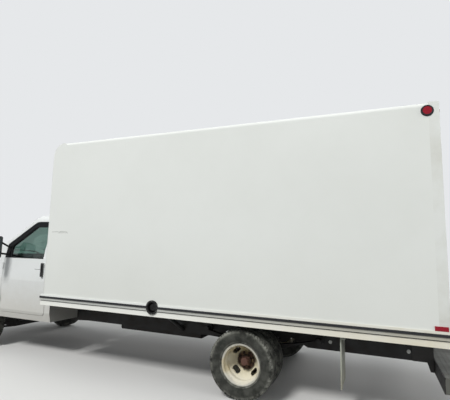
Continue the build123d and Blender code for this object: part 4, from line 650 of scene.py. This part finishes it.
# The door's black frame in two parts, a grey line of painted shade for the crease ahead of its
# handle, the handle and the door card.
frame_black = dict(Roughness=0.6, Specular_IOR_Level=0.2, Coat_Weight=0.0)
DOOR_ZONES = (
    ((3.182, 0.8, 1.387), (4.1, 1.1, 2.1), "101113", frame_black),
    ((3.0, 0.8, 1.868), (4.1, 1.1, 2.1), "101113", frame_black),
    ((3.176, 0.9, 1.231), (3.33, 1.1, 1.238), "6d6f6e", {}),
    ((3.128, 1.0075, 1.12), (3.182, 1.05, 1.34), "0c0c0d", dict(Roughness=0.4)),
    ((3.0, 0.5, 0.57), (4.1, 0.947, 1.392), "3c3e42", dict(Roughness=0.75)),
)
for low, high, tone, sockets in DOOR_ZONES:
    cover(door_paint, within(door_paint, place(*low), place(*high), both_sides=True), tone, **sockets)
dress(door_paint, "door_left", "door_right")


# Window glass and its rubber
# Green-tinted safety glass, set in black rubber. A black ceramic band is fired on the windscreen's
# edge, which hides the glue.
def pane_face(node, facing):
    """The faces of a pane that look one way, as a bmesh."""
    pane = bmesh.new()
    pane.from_mesh(nodes[node].data)
    bmesh.ops.remove_doubles(pane, verts=pane.verts, dist=0.0001)
    pane.normal_update()
    away = [face for face in pane.faces if face.normal.dot(Vector(facing)) < 0.5]
    bmesh.ops.delete(pane, geom=away, context="FACES")
    return pane


def seal(name, pane, body, shift=(0, 0, 0)):
    """A rubber seal along a pane's edge, whose points are followed in order."""
    following = {}
    for edge in pane.edges:
        if edge.is_boundary:
            loop = edge.link_loops[0]
            following[loop.vert] = loop.link_loop_next.vert
    vert = start = next(iter(following))
    points = []
    while vert is not start or not points:
        points.append(vert.co + Vector(shift))
        vert = following[vert]
    work = bmesh.new()
    tube(work, points, 0.009, 8, closed=True, flat=0.8)
    piece(name, work, window_rubber, body, sharp=60)


SCREEN_FACING = (0.55, 0, 0.8)
BAND_WIDTH = 0.045
BAND_PROUD = 0.0008
# Float glass, tinted in the mass: clear and glossy, with a grey-green cast.
glass = new_material("green_safety_glass")
feed(graph(glass)[1], {"Base Color": "9fb8b0", "Specular IOR Level": 0.25, "Roughness": 0.02,
                       "Transmission Weight": 1.0, "IOR": 1.5})
dress(glass, "door_glass_left", "door_glass_right", "windshield")
# Extruded door and screen rubber: plain matt black.
window_rubber = surface("window_rubber", "0e0e0f", 0.55, grain=(0.002, 0.0002))
for side, sign in SIDES:
    pane = pane_face(f"door_glass_{side}", (0, sign, 0))
    seal(f"window_seal_{side}", pane, f"cab_door_{side}", (0, sign * 0.002, 0))
    pane.free()
pane = pane_face("windshield", SCREEN_FACING)
seal("windscreen_seal", pane, "truck")
bmesh.ops.dissolve_limit(pane, angle_limit=math.radians(0.1), verts=pane.verts, edges=pane.edges)
band = bmesh.ops.inset_region(pane, faces=pane.faces[:], thickness=BAND_WIDTH, use_even_offset=True,
                              use_boundary=True)["faces"]
inner = [face for face in pane.faces if face not in set(band)]
bmesh.ops.delete(pane, geom=inner, context="FACES")
pane.normal_update()
for vertex in pane.verts:
    vertex.co += vertex.normal * BAND_PROUD
# Ceramic ink fired into the glass: flat black with hardly any shine.
frit = surface("black_frit", "0b0b0c", 0.5)
feed(graph(frit)[1], {"Specular IOR Level": 0.2})
piece("windscreen_band", pane, frit)


# Wiper arms and blades, parked along the screen's foot
# Steel arms in black powder coat, which carry rubber blades on small spring bows.
WIPERS = ((-0.12, 0.62), (-0.78, -0.06))
# The arm's pivot, its bend and its end, each from a point of the blade.
ARM = ((0, (0.03, 0, -0.01)), (1, (0.02, 0, 0.012)), (6, (0, 0, 0.014)))
SCREEN_RADIUS = 3.0
SCREEN_ANGLE = math.radians(33.3)
COWL_Z = 1.43
work = bmesh.new()
screen_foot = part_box("windshield")[1].x
for pivot_y, tip_y in WIPERS:
    blade = []
    for step in range(13):
        y = pivot_y + (tip_y - pivot_y) * step / 12
        back = 0.045 + 0.1 * step / 12
        blade.append(Vector((screen_foot - back - y * y / (2 * SCREEN_RADIUS), y,
                             COWL_Z + back * math.tan(SCREEN_ANGLE))))
    tube(work, blade, 0.006, 8, flat=0.6)
    arm = [blade[number] + Vector(shift) for number, shift in ARM]
    tube(work, arm, 0.007, 8)
    cylinder(work, arm[0] - Vector((0, 0, 0.02)), (0.5, 0, 0.8), 0.014, 0.034, 14, tip=0.01)
# Powder coat: an even black half gloss with a slight orange peel.
black_steel = surface("black_powder_coat", "111112", 0.45, grain=(0.002, 0.0002))
piece("wipers", work, black_steel, sharp=45)


# Door mirrors
# Black moulded housings on folding arms, each with a flat glass over a low wide-angle one, and a
# black sail in the corner of the window.
MIRROR_FACE_X = 3.89
MIRROR_Y = 1.23
MIRROR_HALF = 0.086
MIRROR_GLASSES = ((1.475, 1.696), (1.394, 1.464))
MIRROR_RIM = 0.0015
SAIL = ((3.86, 0.968, 1.397), (3.985, 0.975, 1.397), (3.9, 0.95, 1.56))
# Moulded ABS with an etched grain: satin black. The grain is drawn at 1.2 mm.
mirror_plastic = surface("mirror_plastic", "131315", 0.5, grain=(0.0012, 0.00012))
dress(mirror_plastic, "mirror_left", "mirror_right")
# Glass silvered on its back: a plain mirror.
mirror_glass = surface("silvered_glass", "c9d0d2", 0.03, metallic=1.0)
for side, sign in SIDES:
    work = bmesh.new()
    for low, high in MIRROR_GLASSES:
        slab(work, place(MIRROR_FACE_X - 0.004, sign * MIRROR_Y - MIRROR_HALF, low),
             place(MIRROR_FACE_X + 0.003, sign * MIRROR_Y + MIRROR_HALF, high))
    piece(f"mirror_glasses_{side}", work, mirror_glass, f"cab_door_{side}")
    work = bmesh.new()
    half = MIRROR_HALF + MIRROR_RIM
    for low, high in reversed(MIRROR_GLASSES):
        low -= MIRROR_RIM
        high += MIRROR_RIM
        corners = ((-half, low), (half, low), (half, high), (-half, high))
        rim = [place(MIRROR_FACE_X - 0.002, sign * MIRROR_Y + y, z) for y, z in corners]
        tube(work, rim, 0.004, 6, closed=True)
    sweep(work, [[place(x, sign * (y - inset), z) for x, y, z in SAIL] for inset in (0, 0.012)], False)
    piece(f"mirror_trim_{side}", work, mirror_plastic, f"cab_door_{side}")


# Door handles and locks
# Black paddles in a dished plate, with a lock barrel below. Each row of the grip gives how far it
# lies ahead of the handle's station, how far it stands out from the skin, and its height.
HANDLE_X = 3.155
LOCK_Z = 1.165
GRIP = ((0.004, -0.004, 1.312), (0.002, 0.002, 1.29), (0, 0.003, 1.25), (0, 0.002, 1.205),
        (0, -0.004, 1.188))
for side, sign in SIDES:
    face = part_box(f"door_{side}")[1 if sign > 0 else 0].y
    work = bmesh.new()
    cylinder(work, place(HANDLE_X, face - sign * 0.002, LOCK_Z), (0, sign, 0), 0.01, 0.003, 20, tip=0.009)
    slab(work, place(HANDLE_X - 0.0015, face - 0.004, LOCK_Z - 0.005),
         place(HANDLE_X + 0.0015, face + 0.004, LOCK_Z + 0.005), 0)
    tube(work, [place(HANDLE_X + x, face + sign * out, z) for x, out, z in GRIP], 0.01, 12, flat=0.7)
    piece(f"door_handle_{side}", work, mirror_plastic, f"cab_door_{side}", sharp=50)


# Grille, header panel and headlamps
# A white moulded header carries a black grille with a fine mesh and a dark sheet behind its bars,
# and square lamps with a clear fluted face, a bright reflector bowl and an amber turn lamp beside it.
NOSE_X = 5.345
NOSE_RADIUS = 2.4
GRILLE_HALF = 0.555
GRILLE_LOW = 0.742
GRILLE_HIGH = 1.008
MESH_PITCH = 0.019
MESH_DEEP = 0.085
SHEET_WIDTH = 0.185
LAMP_Y = 0.672
LAMP_Z = 0.875
# Sprayed enamel on moulded plastic: glossier than the steel's, and black inside the grille.
header_paint = surface("header_enamel", "dfe1df", 0.3, patches=("d4d5d2", 0.3, 0.5),
                       film=("a59d8c", 0.6, 0.9, 0.3), coat=0.2)
cover(header_paint, within(header_paint, place(5.0, -0.562, 0.736), place(5.4, 0.562, 1.014)), "17181a",
      Roughness=0.4)
dress(header_paint, "grille")


def nose(y, z, back=0.0):
    """A point on the bowed nose, at a distance from the middle and a height, or so far behind it."""
    return rear_axle.x + NOSE_X - y * y / (2 * NOSE_RADIUS) - back, y, z


work = bmesh.new()
for column in range(int(2 * GRILLE_HALF / MESH_PITCH) + 1):
    y = column * MESH_PITCH - GRILLE_HALF
    tube(work, [nose(y, GRILLE_LOW, MESH_DEEP), nose(y, GRILLE_HIGH, MESH_DEEP)], 0.0018, 4)
posts = [number * SHEET_WIDTH for number in range(-3, 4)]
for row in range(int((GRILLE_HIGH - GRILLE_LOW) / MESH_PITCH) + 1):
    tube(work, [nose(y, GRILLE_LOW + row * MESH_PITCH, MESH_DEEP) for y in posts], 0.0018, 4)
for y in posts[:-1]:
    x = nose(y + SHEET_WIDTH / 2, 0, MESH_DEEP + 0.003)[0]
    slab(work, (x - 0.02, y, GRILLE_LOW - 0.008), (x, y + SHEET_WIDTH, GRILLE_HIGH + 0.008), 0)
piece("grille_mesh", work, mirror_plastic)
# Clear polycarbonate over an aluminised bowl: bright grey metal behind upright flutes.
lamp_clear = surface("clear_polycarbonate", "aab1b6", 0.16, metallic=0.6, coat=0.4)
tree, shader, spot = graph(lamp_clear)
flutes = add(tree, "TexWave", spot, 18, bands_direction="Y").outputs["Fac"]
feed(shader, {"Normal": add(tree, "Bump", {"Height": flutes, "Distance": 0.002})})
amber = within(lamp_clear, place(5.0, 0.775, 0.7), place(5.4, 0.9, 1.05), both_sides=True)
cover(lamp_clear, amber, "c8701c", Metallic=0.0)
dress(lamp_clear, "headlamps")
BEZEL = ((0.59, 0.747), (0.715, 0.747), (0.85, 0.747), (0.85, 1.003), (0.715, 1.003), (0.59, 1.003))
for side, sign in SIDES:
    work = bmesh.new()
    y = sign * LAMP_Y
    for radius in (0.072, 0.081):
        ring = [nose(y + radius * c, LAMP_Z + radius * 1.2 * s, 0.0005) for c, s in turns(32)]
        tube(work, ring, 0.003, 8, closed=True)
    cylinder(work, nose(y, LAMP_Z, 0.004), (1, 0, 0), 0.017, 0.007, 20)
    piece(f"headlamp_rings_{side}", work, aluminium)
    work = bmesh.new()
    tube(work, [nose(sign * y, z, -0.0005) for y, z in BEZEL], 0.0045, 8, closed=True)
    piece(f"headlamp_bezel_{side}", work, mirror_plastic, sharp=60)


# Front bumper
# A pressed steel bar in white enamel with a black step pad, fog openings and a bare plate bracket.
PAD_HALF = 0.74
# Sprayed enamel with clear coat over pressed steel: glossy, and dull with dirt towards its foot.
dress(surface("bumper_enamel", "dcdedc", 0.3, patches=("cbccc8", 0.2, 0.6),
              film=("9d9484", 0.44, 0.66, 0.4), coat=0.2), "front_bumper")
bumper_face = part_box("front_bumper")[1].x
pad_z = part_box("front_bumper")[1].z - 0.06
work = bmesh.new()
line = [-PAD_HALF + 2 * PAD_HALF * step / 16 for step in range(17)]
tube(work, [(bumper_face - y * y / (2 * NOSE_RADIUS) + 0.001, y, pad_z) for y in line], 0.014)
piece("bumper_pad", work, strip_rubber, sharp=60)
work = bmesh.new()
slab(work, (bumper_face - 0.001, -0.152, 0.505), (bumper_face + 0.004, 0.152, 0.6), 0.002)
for y in (-0.09, 0.09):
    cylinder(work, (bumper_face + 0.003, y, 0.585), (1, 0, 0), 0.007, 0.003, 6)
piece("plate_bracket", work, zinc)


# Cab floor and dashboard
# Black rubber matting over the pressed floor, flat and greyed by trodden dust, and a moulded
# dashboard in dark grained plastic with a hooded cluster, round vents, a radio and a glove box.
dress(surface("mat_rubber", "1f2022", 0.8, patches=("33322f", 0.15, 0.7), grain=(0.006, 0.0008)),
      "cab_floor")
# Moulded polypropylene with a leather grain, which is drawn at 1.5 mm: flat and dark.
dress(surface("dash_plastic", "1f2022", 0.7, patches=("1a1b1d", 0.2, 0.5), grain=(0.0015, 0.00015)),
      "dashboard")
DASH_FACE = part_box("dashboard")[0].x + 0.084
# The cluster, the radio, its tray and the glove box: right edge, left edge, foot and top.
DASH_PANELS = ((0.33, 0.67, 1.17, 1.285), (-0.1, 0.12, 1.05, 1.13), (-0.1, 0.12, 1.15, 1.19),
               (-0.72, -0.28, 1.05, 1.2))
VENT_PLACES = (-0.78, -0.19, 0.22, 0.78)
VENT_Z = 1.245
VENT_RADIUS = 0.036
work = bmesh.new()
for low_y, high_y, low_z, high_z in DASH_PANELS:
    slab(work, (DASH_FACE, low_y, low_z), (DASH_FACE + 0.034, high_y, high_z), 0.006)
for y in VENT_PLACES:
    ring = [(DASH_FACE, y + VENT_RADIUS * c, VENT_Z + VENT_RADIUS * s) for c, s in turns(24)]
    tube(work, ring, 0.004, 6, closed=True)
    for bar in (-0.018, 0, 0.018):
        half = math.sqrt(VENT_RADIUS ** 2 - bar ** 2)
        tube(work, [(DASH_FACE + 0.001, y + end, VENT_Z + bar) for end in (-half, half)], 0.002, 6)
for y in (-0.065, 0, 0.065):
    cylinder(work, (DASH_FACE + 0.006, y, 1.022), (-1, 0, 0), 0.017, 0.018, 20, tip=0.014)
piece("dashboard_fittings", work, mirror_plastic)
work = bmesh.new()
for y in (0.43, 0.57):
    cylinder(work, (DASH_FACE + 0.001, y, 1.228), (-1, 0, 0), 0.045, 0.003, 32)
# Printed dials: pale and matt, with nothing written on them.
gauge = surface("gauge_faces", "d8d8d2", 0.5, patches=("c9c9c2", 0.01, 0.3))
piece("gauges", work, gauge)
# Moulded vinyl over a steel ring: satin, with a fine grain.
dress(surface("wheel_vinyl", "232426", 0.55, grain=(0.0012, 0.0001)), "steering_wheel")
# Each pedal's place across the cab, the foot of its pad and the pad's height.
PEDALS = ((0.42, 0.7, 0.06), (0.55, 0.74, 0.055), (0.66, 0.72, 0.09))
PEDAL_LEAN = Matrix.Rotation(math.radians(-24), 3, "Y")
work = bmesh.new()
for y, low_z, height in PEDALS:
    slab(work, place(3.9, y - 0.03, low_z), place(3.912, y + 0.03, low_z + height), 0.004, PEDAL_LEAN)
    arm = ((3.912, height * 0.7), (4.02, 0.22), (4.085, 0.25))
    tube(work, [place(x, y, low_z + rise) for x, rise in arm], 0.008)
piece("pedals", work, black_steel)


# Seats
# Moulded foam under grey vinyl, sewn in lengthwise channels, on a plain steel base. The foam is firm,
# so its form is modelled and not simulated.
SEAT_Y = 0.5
SEAMS = (-0.5, -0.17, 0.17, 0.5)
CHANNEL_DEPTH = 0.009
CHANNEL_HALF = 0.006
CROWN = 0.012
ROUNDNESS = 5.0
# Each cushion: its size, how far ahead of the seat's rear it lies, its height, its lean and its seams.
CUSHIONS = (
    ("seat_cushion", (0.56, 0.5, 0.17), 0.3, 0.79, 4, SEAMS),
    ("seat_back", (0.66, 0.5, 0.15), 0.09, 1.2, -82, SEAMS),
    ("head_rest", (0.17, 0.25, 0.09), 0.05, 1.64, -84, ()),
)


def cushion(size, lean, seams):
    """A crowned foam cushion: a rounded box, with sewn grooves along its upper or front face at the
    given places along Y, as shares of the half width."""
    work = bmesh.new()
    bmesh.ops.create_cube(work, size=2)
    bmesh.ops.subdivide_edges(work, edges=work.edges[:], cuts=26, use_grid_fill=True)
    turn = Matrix.Rotation(math.radians(lean), 3, "Y")
    for vertex in work.verts:
        norm = sum(abs(part) ** ROUNDNESS for part in vertex.co) ** (1 / ROUNDNESS)
        point = vertex.co / norm
        out = Vector((point.x * size[0], point.y * size[1], point.z * size[2])) / 2
        if point.z > 0.2:
            out.z += CROWN * (1 - point.x ** 2) * (1 - point.y ** 2)
            for seam in seams:
                gap = abs(point.y - seam) * size[1] / 2
                out.z -= CHANNEL_DEPTH * math.exp(-(gap / CHANNEL_HALF) ** 2) * (1 - point.x ** 6)
        vertex.co = turn @ out
    return work


# Coated vinyl with an embossed grain: a soft grey satin, darker where it is rubbed.
vinyl = surface("seat_vinyl", "4b4d52", 0.55, patches=("3f4146", 0.1, 0.6), grain=(0.0012, 0.00012))
# Powder-coated steel under the foam: an even black half gloss.
steel_base = surface("seat_base_steel", "1b1c1e", 0.5, grain=(0.002, 0.0001))
seat_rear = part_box("seats")[0].x
for side, sign in SIDES:
    y = sign * SEAT_Y
    for name, size, x, z, lean, seams in CUSHIONS:
        made = piece(f"{name}_{side}", cushion(size, lean, seams), vinyl,
                     at=(seat_rear + x, y, z), sharp=60)
    work = bmesh.new()
    slab(work, (seat_rear + 0.09, y - 0.2, 0.64), (seat_rear + 0.51, y + 0.2, 0.71), 0.006)
    for leg in (-0.07, 0.07):
        cylinder(work, (seat_rear + 0.06, y + leg, 1.48), (0, 0, 1), 0.006, 0.12, 12)
    piece(f"seat_base_{side}", work, steel_base)
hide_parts("seats")


# Tyres
# All-season truck tyres, 223 mm wide on 16 in rims: moulded rubber greyed by road dust, with a rim
# protector above the bead, three ribs of tread blocks and lugs down over the shoulders.
TYRE_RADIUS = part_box("tyre_front_left")[1].z / 2
TWIN_OFFSET = 0.131
TREAD_DEPTH = 0.009
TREAD_BASE = TYRE_RADIUS - TREAD_DEPTH
PITCHES = 64
BLOCK_SHARE = 0.86
LUG_SHARE = 0.74
# The side wall from the bead to the shoulder: how far out it lies, and how far below the crown.
SIDEWALL = (
    (0.08, 0.16), (0.0875, 0.157), (0.09, 0.146), (0.096, 0.139), (0.1045, 0.132),
    (0.1045, 0.127), (0.102, 0.124), (0.106, 0.112), (0.1065, 0.11), (0.109, 0.0985),
    (0.1113, 0.081), (0.1109, 0.062), (0.108, 0.045), (0.104, 0.033), (0.1, 0.024),
)
# Each rib's edges, and the lean of the cuts between its blocks.
RIBS = ((-0.05, -0.023, 2.8), (-0.0165, 0.0165, -2.8), (0.023, 0.05, 2.8))
BORE = ((-0.07, 0.21), (-0.09, 0.29), (-0.08, 0.342), (0.08, 0.342), (0.09, 0.29), (0.07, 0.21))


def tread(y):
    """A point on the crowned tread, at a distance from the tyre's middle."""
    return y, TYRE_RADIUS - 0.0035 * (y / 0.093) ** 2


LUG = ((0.057, TREAD_BASE - 0.001), tread(0.057), tread(0.0925), (0.1035, TYRE_RADIUS - 0.022),
       (0.1045, TYRE_RADIUS - 0.031), (0.098, TYRE_RADIUS - 0.031))


def tyre_mesh(work, shift):
    side = [(y, TYRE_RADIUS - drop) for y, drop in SIDEWALL]
    mirrored = [(-y, radius) for y, radius in reversed(side)]
    lathe(work, side + [(0.05, TREAD_BASE), (-0.05, TREAD_BASE)] + mirrored + list(BORE), shift=shift)
    pitch = math.tau / PITCHES
    for number in range(PITCHES):
        start = number * pitch
        for low, high, lean in RIBS:
            outline = [(low, TREAD_BASE - 0.001), tread(low), tread(high), (high, TREAD_BASE - 0.001)]
            lathe(work, outline, start, start + pitch * BLOCK_SHARE, 1, lean, shift)
        for hand in (1, -1):
            late = start + (pitch / 2 if hand > 0 else 0)
            outline = [(y * hand, radius) for y, radius in LUG]
            lathe(work, outline, late, late + pitch * LUG_SHARE, 1, 1.5 * hand, shift)


# Dust lies in rings on the rubber, and is ragged: thick above the bead and round the shoulders.
tyre_rubber = surface("tyre_rubber", "252622", 0.82, patches=("32332f", 0.05, 0.8), grain=(0.004, 0.0002))
DUST_RINGS = ((0.21, 0.25), (0.229, 0.7), (0.243, 0.14), (0.32, 0.2), (0.345, 1), (0.366, 0.6))
tree, shader, spot = graph(tyre_rubber)
flat = add(tree, "VectorMath MULTIPLY", spot, (1, 0, 1))
radius = add(tree, "VectorMath LENGTH", flat)
dusty = add(tree, "ValToRGB", radius, stops=DUST_RINGS)
speckle = add(tree, "TexNoise", spot, 11, 7, 0.65)
ragged = add(tree, "MapRange", speckle, 0.38, 0.62)
cover(tyre_rubber, add(tree, "Math MULTIPLY", dusty, ragged), "8f8f86")
for name, axle, twins in (("front", front_axle, (0,)), ("rear", rear_axle, (-TWIN_OFFSET, TWIN_OFFSET))):
    for side, sign in SIDES:
        work = bmesh.new()
        for shift in twins:
            tyre_mesh(work, shift)
        node = f"tyre_{name}_{side}" if name == "front" else f"tyres_{name}_{side}"
        made = piece(f"{name}_tread_{side}", work, tyre_rubber, f"{name}_wheel_{side}",
                     sum(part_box(node), Vector()) / 2)
        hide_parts(node)


# Wheels: rims, discs, hubs and nuts
# Pressed steel discs welded into rolled rims, in chalky white enamel that has yellowed. Brake dust
# and rust have turned each hub, its nuts and the disc's flat round them brown.
DISC_WALL = 0.012
HAND_HOLES = 4
HAND_HOLE_CIRCLE = 0.147
HAND_HOLE_HALF = 0.049
HAND_HOLE_ROUND = 0.023
RIM_EDGE = (
    (0.048, 0.205), (0.08, 0.206), (0.086, 0.21), (0.0865, 0.2175), (0.088, 0.219),
    (0.0905, 0.2185), (0.091, 0.215), (0.089, 0.208), (0.087, 0.1995), (0.048, 0.1985),
)
FAR_EDGE = [(-y, radius) for y, radius in reversed(RIM_EDGE)]
RIM = [*RIM_EDGE, (0.025, 0.184), (-0.025, 0.184), *FAR_EDGE, (-0.025, 0.19), (0.025, 0.19)]
DISC = (
    (0.01, 0.199), (0.001, 0.196), (-0.018, 0.187), (-0.044, 0.172), (-0.07, 0.155),
    (-0.095, 0.137), (-0.112, 0.122), (-0.119, 0.11), (-0.119, 0.06), (-0.131, 0.06),
    (-0.131, 0.113), (-0.123, 0.128), (-0.105, 0.145), (-0.079, 0.164), (-0.052, 0.181),
    (-0.025, 0.193), (-0.008, 0.199),
)
# Rust at the hub, brake dust, clean enamel and the dull rim, each from a distance to the axle.
WHEEL_RINGS = ((0.075, "5a3c30"), (0.1, "4d443c"), (0.116, "c9c1a8"), (0.165, "ddd6bf"),
               (0.195, "e0dbcb"), (0.21, "b9b6ab"))


def wheel_enamel(name, hub_tone):
    """Chalky enamel that turns to rust and brake dust towards the hub."""
    made = new_material(name)
    tree, shader, spot = graph(made)
    flat = add(tree, "VectorMath MULTIPLY", spot, (1, 0, 1))
    radius = add(tree, "VectorMath LENGTH", flat)
    coarse = add(tree, "TexNoise", spot, 14, 8, 0.7)
    shaken = add(tree, "MapRange", coarse, 0, 1, -0.03, 0.03)
    ragged = add(tree, "Math ADD", radius, shaken)
    zones = add(tree, "ValToRGB", ragged, stops=((0.03, hub_tone), *WHEEL_RINGS))
    stain = add(tree, "TexNoise", spot, 5, 3)
    amount = add(tree, "MapRange", stain, 0.5, 0.65, 0, 0.6)
    pits = add(tree, "TexNoise", spot, 300, 3)
    feed(shader, {"Base Color": add(tree, "Mix RGBA", amount, zones, "bfae80"),
                  "Roughness": add(tree, "MapRange", ragged, 0.1, 0.15, 0.9, 0.45),
                  "Normal": add(tree, "Bump", {"Height": pits, "Distance": 0.0004, "Strength": 0.6})})
    return made


def disc_mesh():
    """The dished disc of an outer twin, from the middle of its rim, with its hand holes."""
    blank = bmesh.new()
    lathe(blank, DISC)
    cutter = bmesh.new()
    run = HAND_HOLE_HALF - HAND_HOLE_ROUND
    for number in range(HAND_HOLES):
        turn = Matrix.Rotation(math.tau * (number + 0.5) / HAND_HOLES, 3, "Y")
        hole = [(HAND_HOLE_ROUND * c + (run if c > 0 else -run), HAND_HOLE_CIRCLE + HAND_HOLE_ROUND * s)
                for c, s in turns(24)]
        sweep(cutter, [[turn @ Vector((x, y, z)) for x, z in hole] for y in (-0.2, 0.2)], False)
    return cut_out(blank, cutter)


NUTS = 8
NUT_CIRCLE = 0.0825
# Each nut's washer, its hexagon and its stud's end: radius, height, sides and dome.
NUT_PARTS = ((0.016875, 0.003, 20, 0.0), (0.0135, 0.018, 6, 0.0), (0.007425, 0.028, 12, 0.002))
pressed_disc = disc_mesh()
# Bare cast steel that has rusted: flat brown with dark clouds, and redder on the turned cap.
rust = surface("rusted_steel", "43352d", 0.85, metallic=0.3, patches=("3a2b24", 0.02, 0.9),
               grain=(0.003, 0.0004))
cover(rust, within(rust, (-0.046, -2, -0.046), (0.046, 2, 0.046)), "6b4f46")
# Each row gives an axle with its enamel's tone at the hub, its wheels' middles with the way their
# dishes face, the plane where a disc meets the hub, the drum's back, the cap's reach beyond the disc
# and the face that the nuts sit on.
AXLES = (
    ("front", front_axle, "77695a", ((0.852, -1),), 0.983, 0.872, 0.034, 0.983),
    ("rear", rear_axle, "6b3a2c", ((1.044, 1), (0.782, -1)), 0.913, 0.782, 0.1, 0.925),
)
for name, axle, hub_tone, wheels, face_y, drum_back, reach, nut_y in AXLES:
    enamel = wheel_enamel(f"{name}_wheel_enamel", hub_tone)
    cap_y = face_y + reach
    step_y = face_y + reach * 0.5
    flange_y = face_y - DISC_WALL * len(wheels)
    hub = ((cap_y, 0.001), (cap_y, 0.034), (cap_y - 0.003, 0.04), (cap_y - 0.01, 0.042),
           (step_y + 0.004, 0.044), (step_y, 0.058), (step_y - 0.006, 0.062), (flange_y, 0.062),
           (flange_y, 0.116), (flange_y - 0.016, 0.158), (flange_y - 0.02, 0.162), (drum_back, 0.162),
           (drum_back, 0.001))
    for side, sign in SIDES:
        work = bmesh.new()
        for middle, facing in wheels:
            lathe(work, RIM, shift=sign * middle)
            placed = pressed_disc.copy()
            turned = Matrix.Diagonal((1, facing * sign, 1, 1))
            placed.transform(Matrix.Translation((0, sign * middle, 0)) @ turned)
            work.from_mesh(placed)
            bpy.data.meshes.remove(placed)
        body = f"{name}_wheel_{side}"
        middle = (axle.x, 0, axle.z)
        made = piece(f"{name}_rims_{side}", work, enamel, body, middle)
        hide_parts(f"wheel_{name}_{side}")
        work = bmesh.new()
        lathe(work, [(sign * y, radius) for y, radius in hub], steps=64)
        for c, s in turns(NUTS, 0.5):
            for radius, height, sides, dome in NUT_PARTS:
                spot = (NUT_CIRCLE * c, sign * nut_y, NUT_CIRCLE * s)
                cylinder(work, spot, (0, sign, 0), radius, height, sides, dome=dome)
        if name == "rear":
            for c, s in turns(NUTS):
                cylinder(work, (0.051 * c, sign * step_y, 0.051 * s), (0, sign, 0), 0.0055, 0.006, 6)
        piece(f"{name}_hub_{side}", work, rust, body, middle)


# Chassis, axles and springs
# Pressed and welded steel in black chassis paint, brown with road dirt and rust where the paint is
# thin. Zinc-plated bolts with washers hold the side rails' brackets.
RAIL_BOLTS = ((-1.687, 0.549), (-0.863, 0.554))
# Dipped chassis paint: flat black with brown clouds of dirt. Cast iron is greyer and rough from the
# mould, and the exhaust's steel has browned with heat.
dress(surface("chassis_paint", "0f0f0f", 0.7, patches=("2a241f", 0.12, 0.7), grain=(0.006, 0.0004)),
      "frame_rails", "front_suspension", "rear_axle", "leaf_springs", "driveshaft", "fuel_tank",
      "knuckle_left", "knuckle_right")
dress(surface("cast_iron", "2b2a29", 0.75, metallic=0.4, patches=("3e3128", 0.08, 0.7),
              grain=(0.004, 0.0006)), "engine_block")
dress(surface("exhaust_steel", "6b5a4c", 0.6, metallic=0.7, patches=("7a3f22", 0.06, 0.8)), "exhaust")
rail_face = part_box("frame_rails")[1].y
work = bmesh.new()
for station, z in RAIL_BOLTS:
    for sign in (-1, 1):
        spot = place(station, sign * rail_face, z)
        cylinder(work, spot, (0, sign, 0), 0.02, 0.005, 24)
        cylinder(work, spot + Vector((0, sign * 0.004, 0)), (0, sign, 0), 0.013, 0.012, 6)
piece("rail_bolts", work, zinc, sharp=40)


# Rear step
# Welded steel with a punched grip deck, its paint worn to dull grey and brown.
STEP_TOP = 0.506
STUD_PITCH = 0.045
STEP_DEEP = 0.265
# Paint worn off rolled steel: a dull grey metal, blotched brown. The hangers keep their black.
step_steel = surface("worn_step_steel", "5f605a", 0.6, metallic=0.2, patches=("4c4a43", 0.3, 0.7),
                     grain=(0.004, 0.0002))
hangers = within(step_steel, place(-1.935, -1.2, 0.3), place(-1.6, 1.2, 0.9), wobble=0.01)
cover(step_steel, hangers, "1a1816", Metallic=0.0)
dress(step_steel, "rear_bumper")
step_low, step_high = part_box("rear_bumper")
work = bmesh.new()
for row in range(int((STEP_DEEP - 0.03) / STUD_PITCH)):
    for column in range(int((step_high.y - step_low.y - 0.06) / STUD_PITCH)):
        x = step_low.x + 0.03 + row * STUD_PITCH
        y = step_low.y + 0.04 + column * STUD_PITCH + (STUD_PITCH / 2 if row % 2 else 0)
        cylinder(work, (x, y, STEP_TOP), (0, 0, 1), 0.01, 0.002, 10, tip=0.006)
piece("step_tread", work, step_steel)


# Mud flaps
# Pale moulded polyethylene sheets, hung from a bolted bracket and splashed with road dirt: a waxy
# grey that goes brown towards the foot.
dress(surface("flap_sheet", "a9ac9f", 0.55, film=("7b7664", 0.28, 0.62, 0.65)), "mud_flaps")
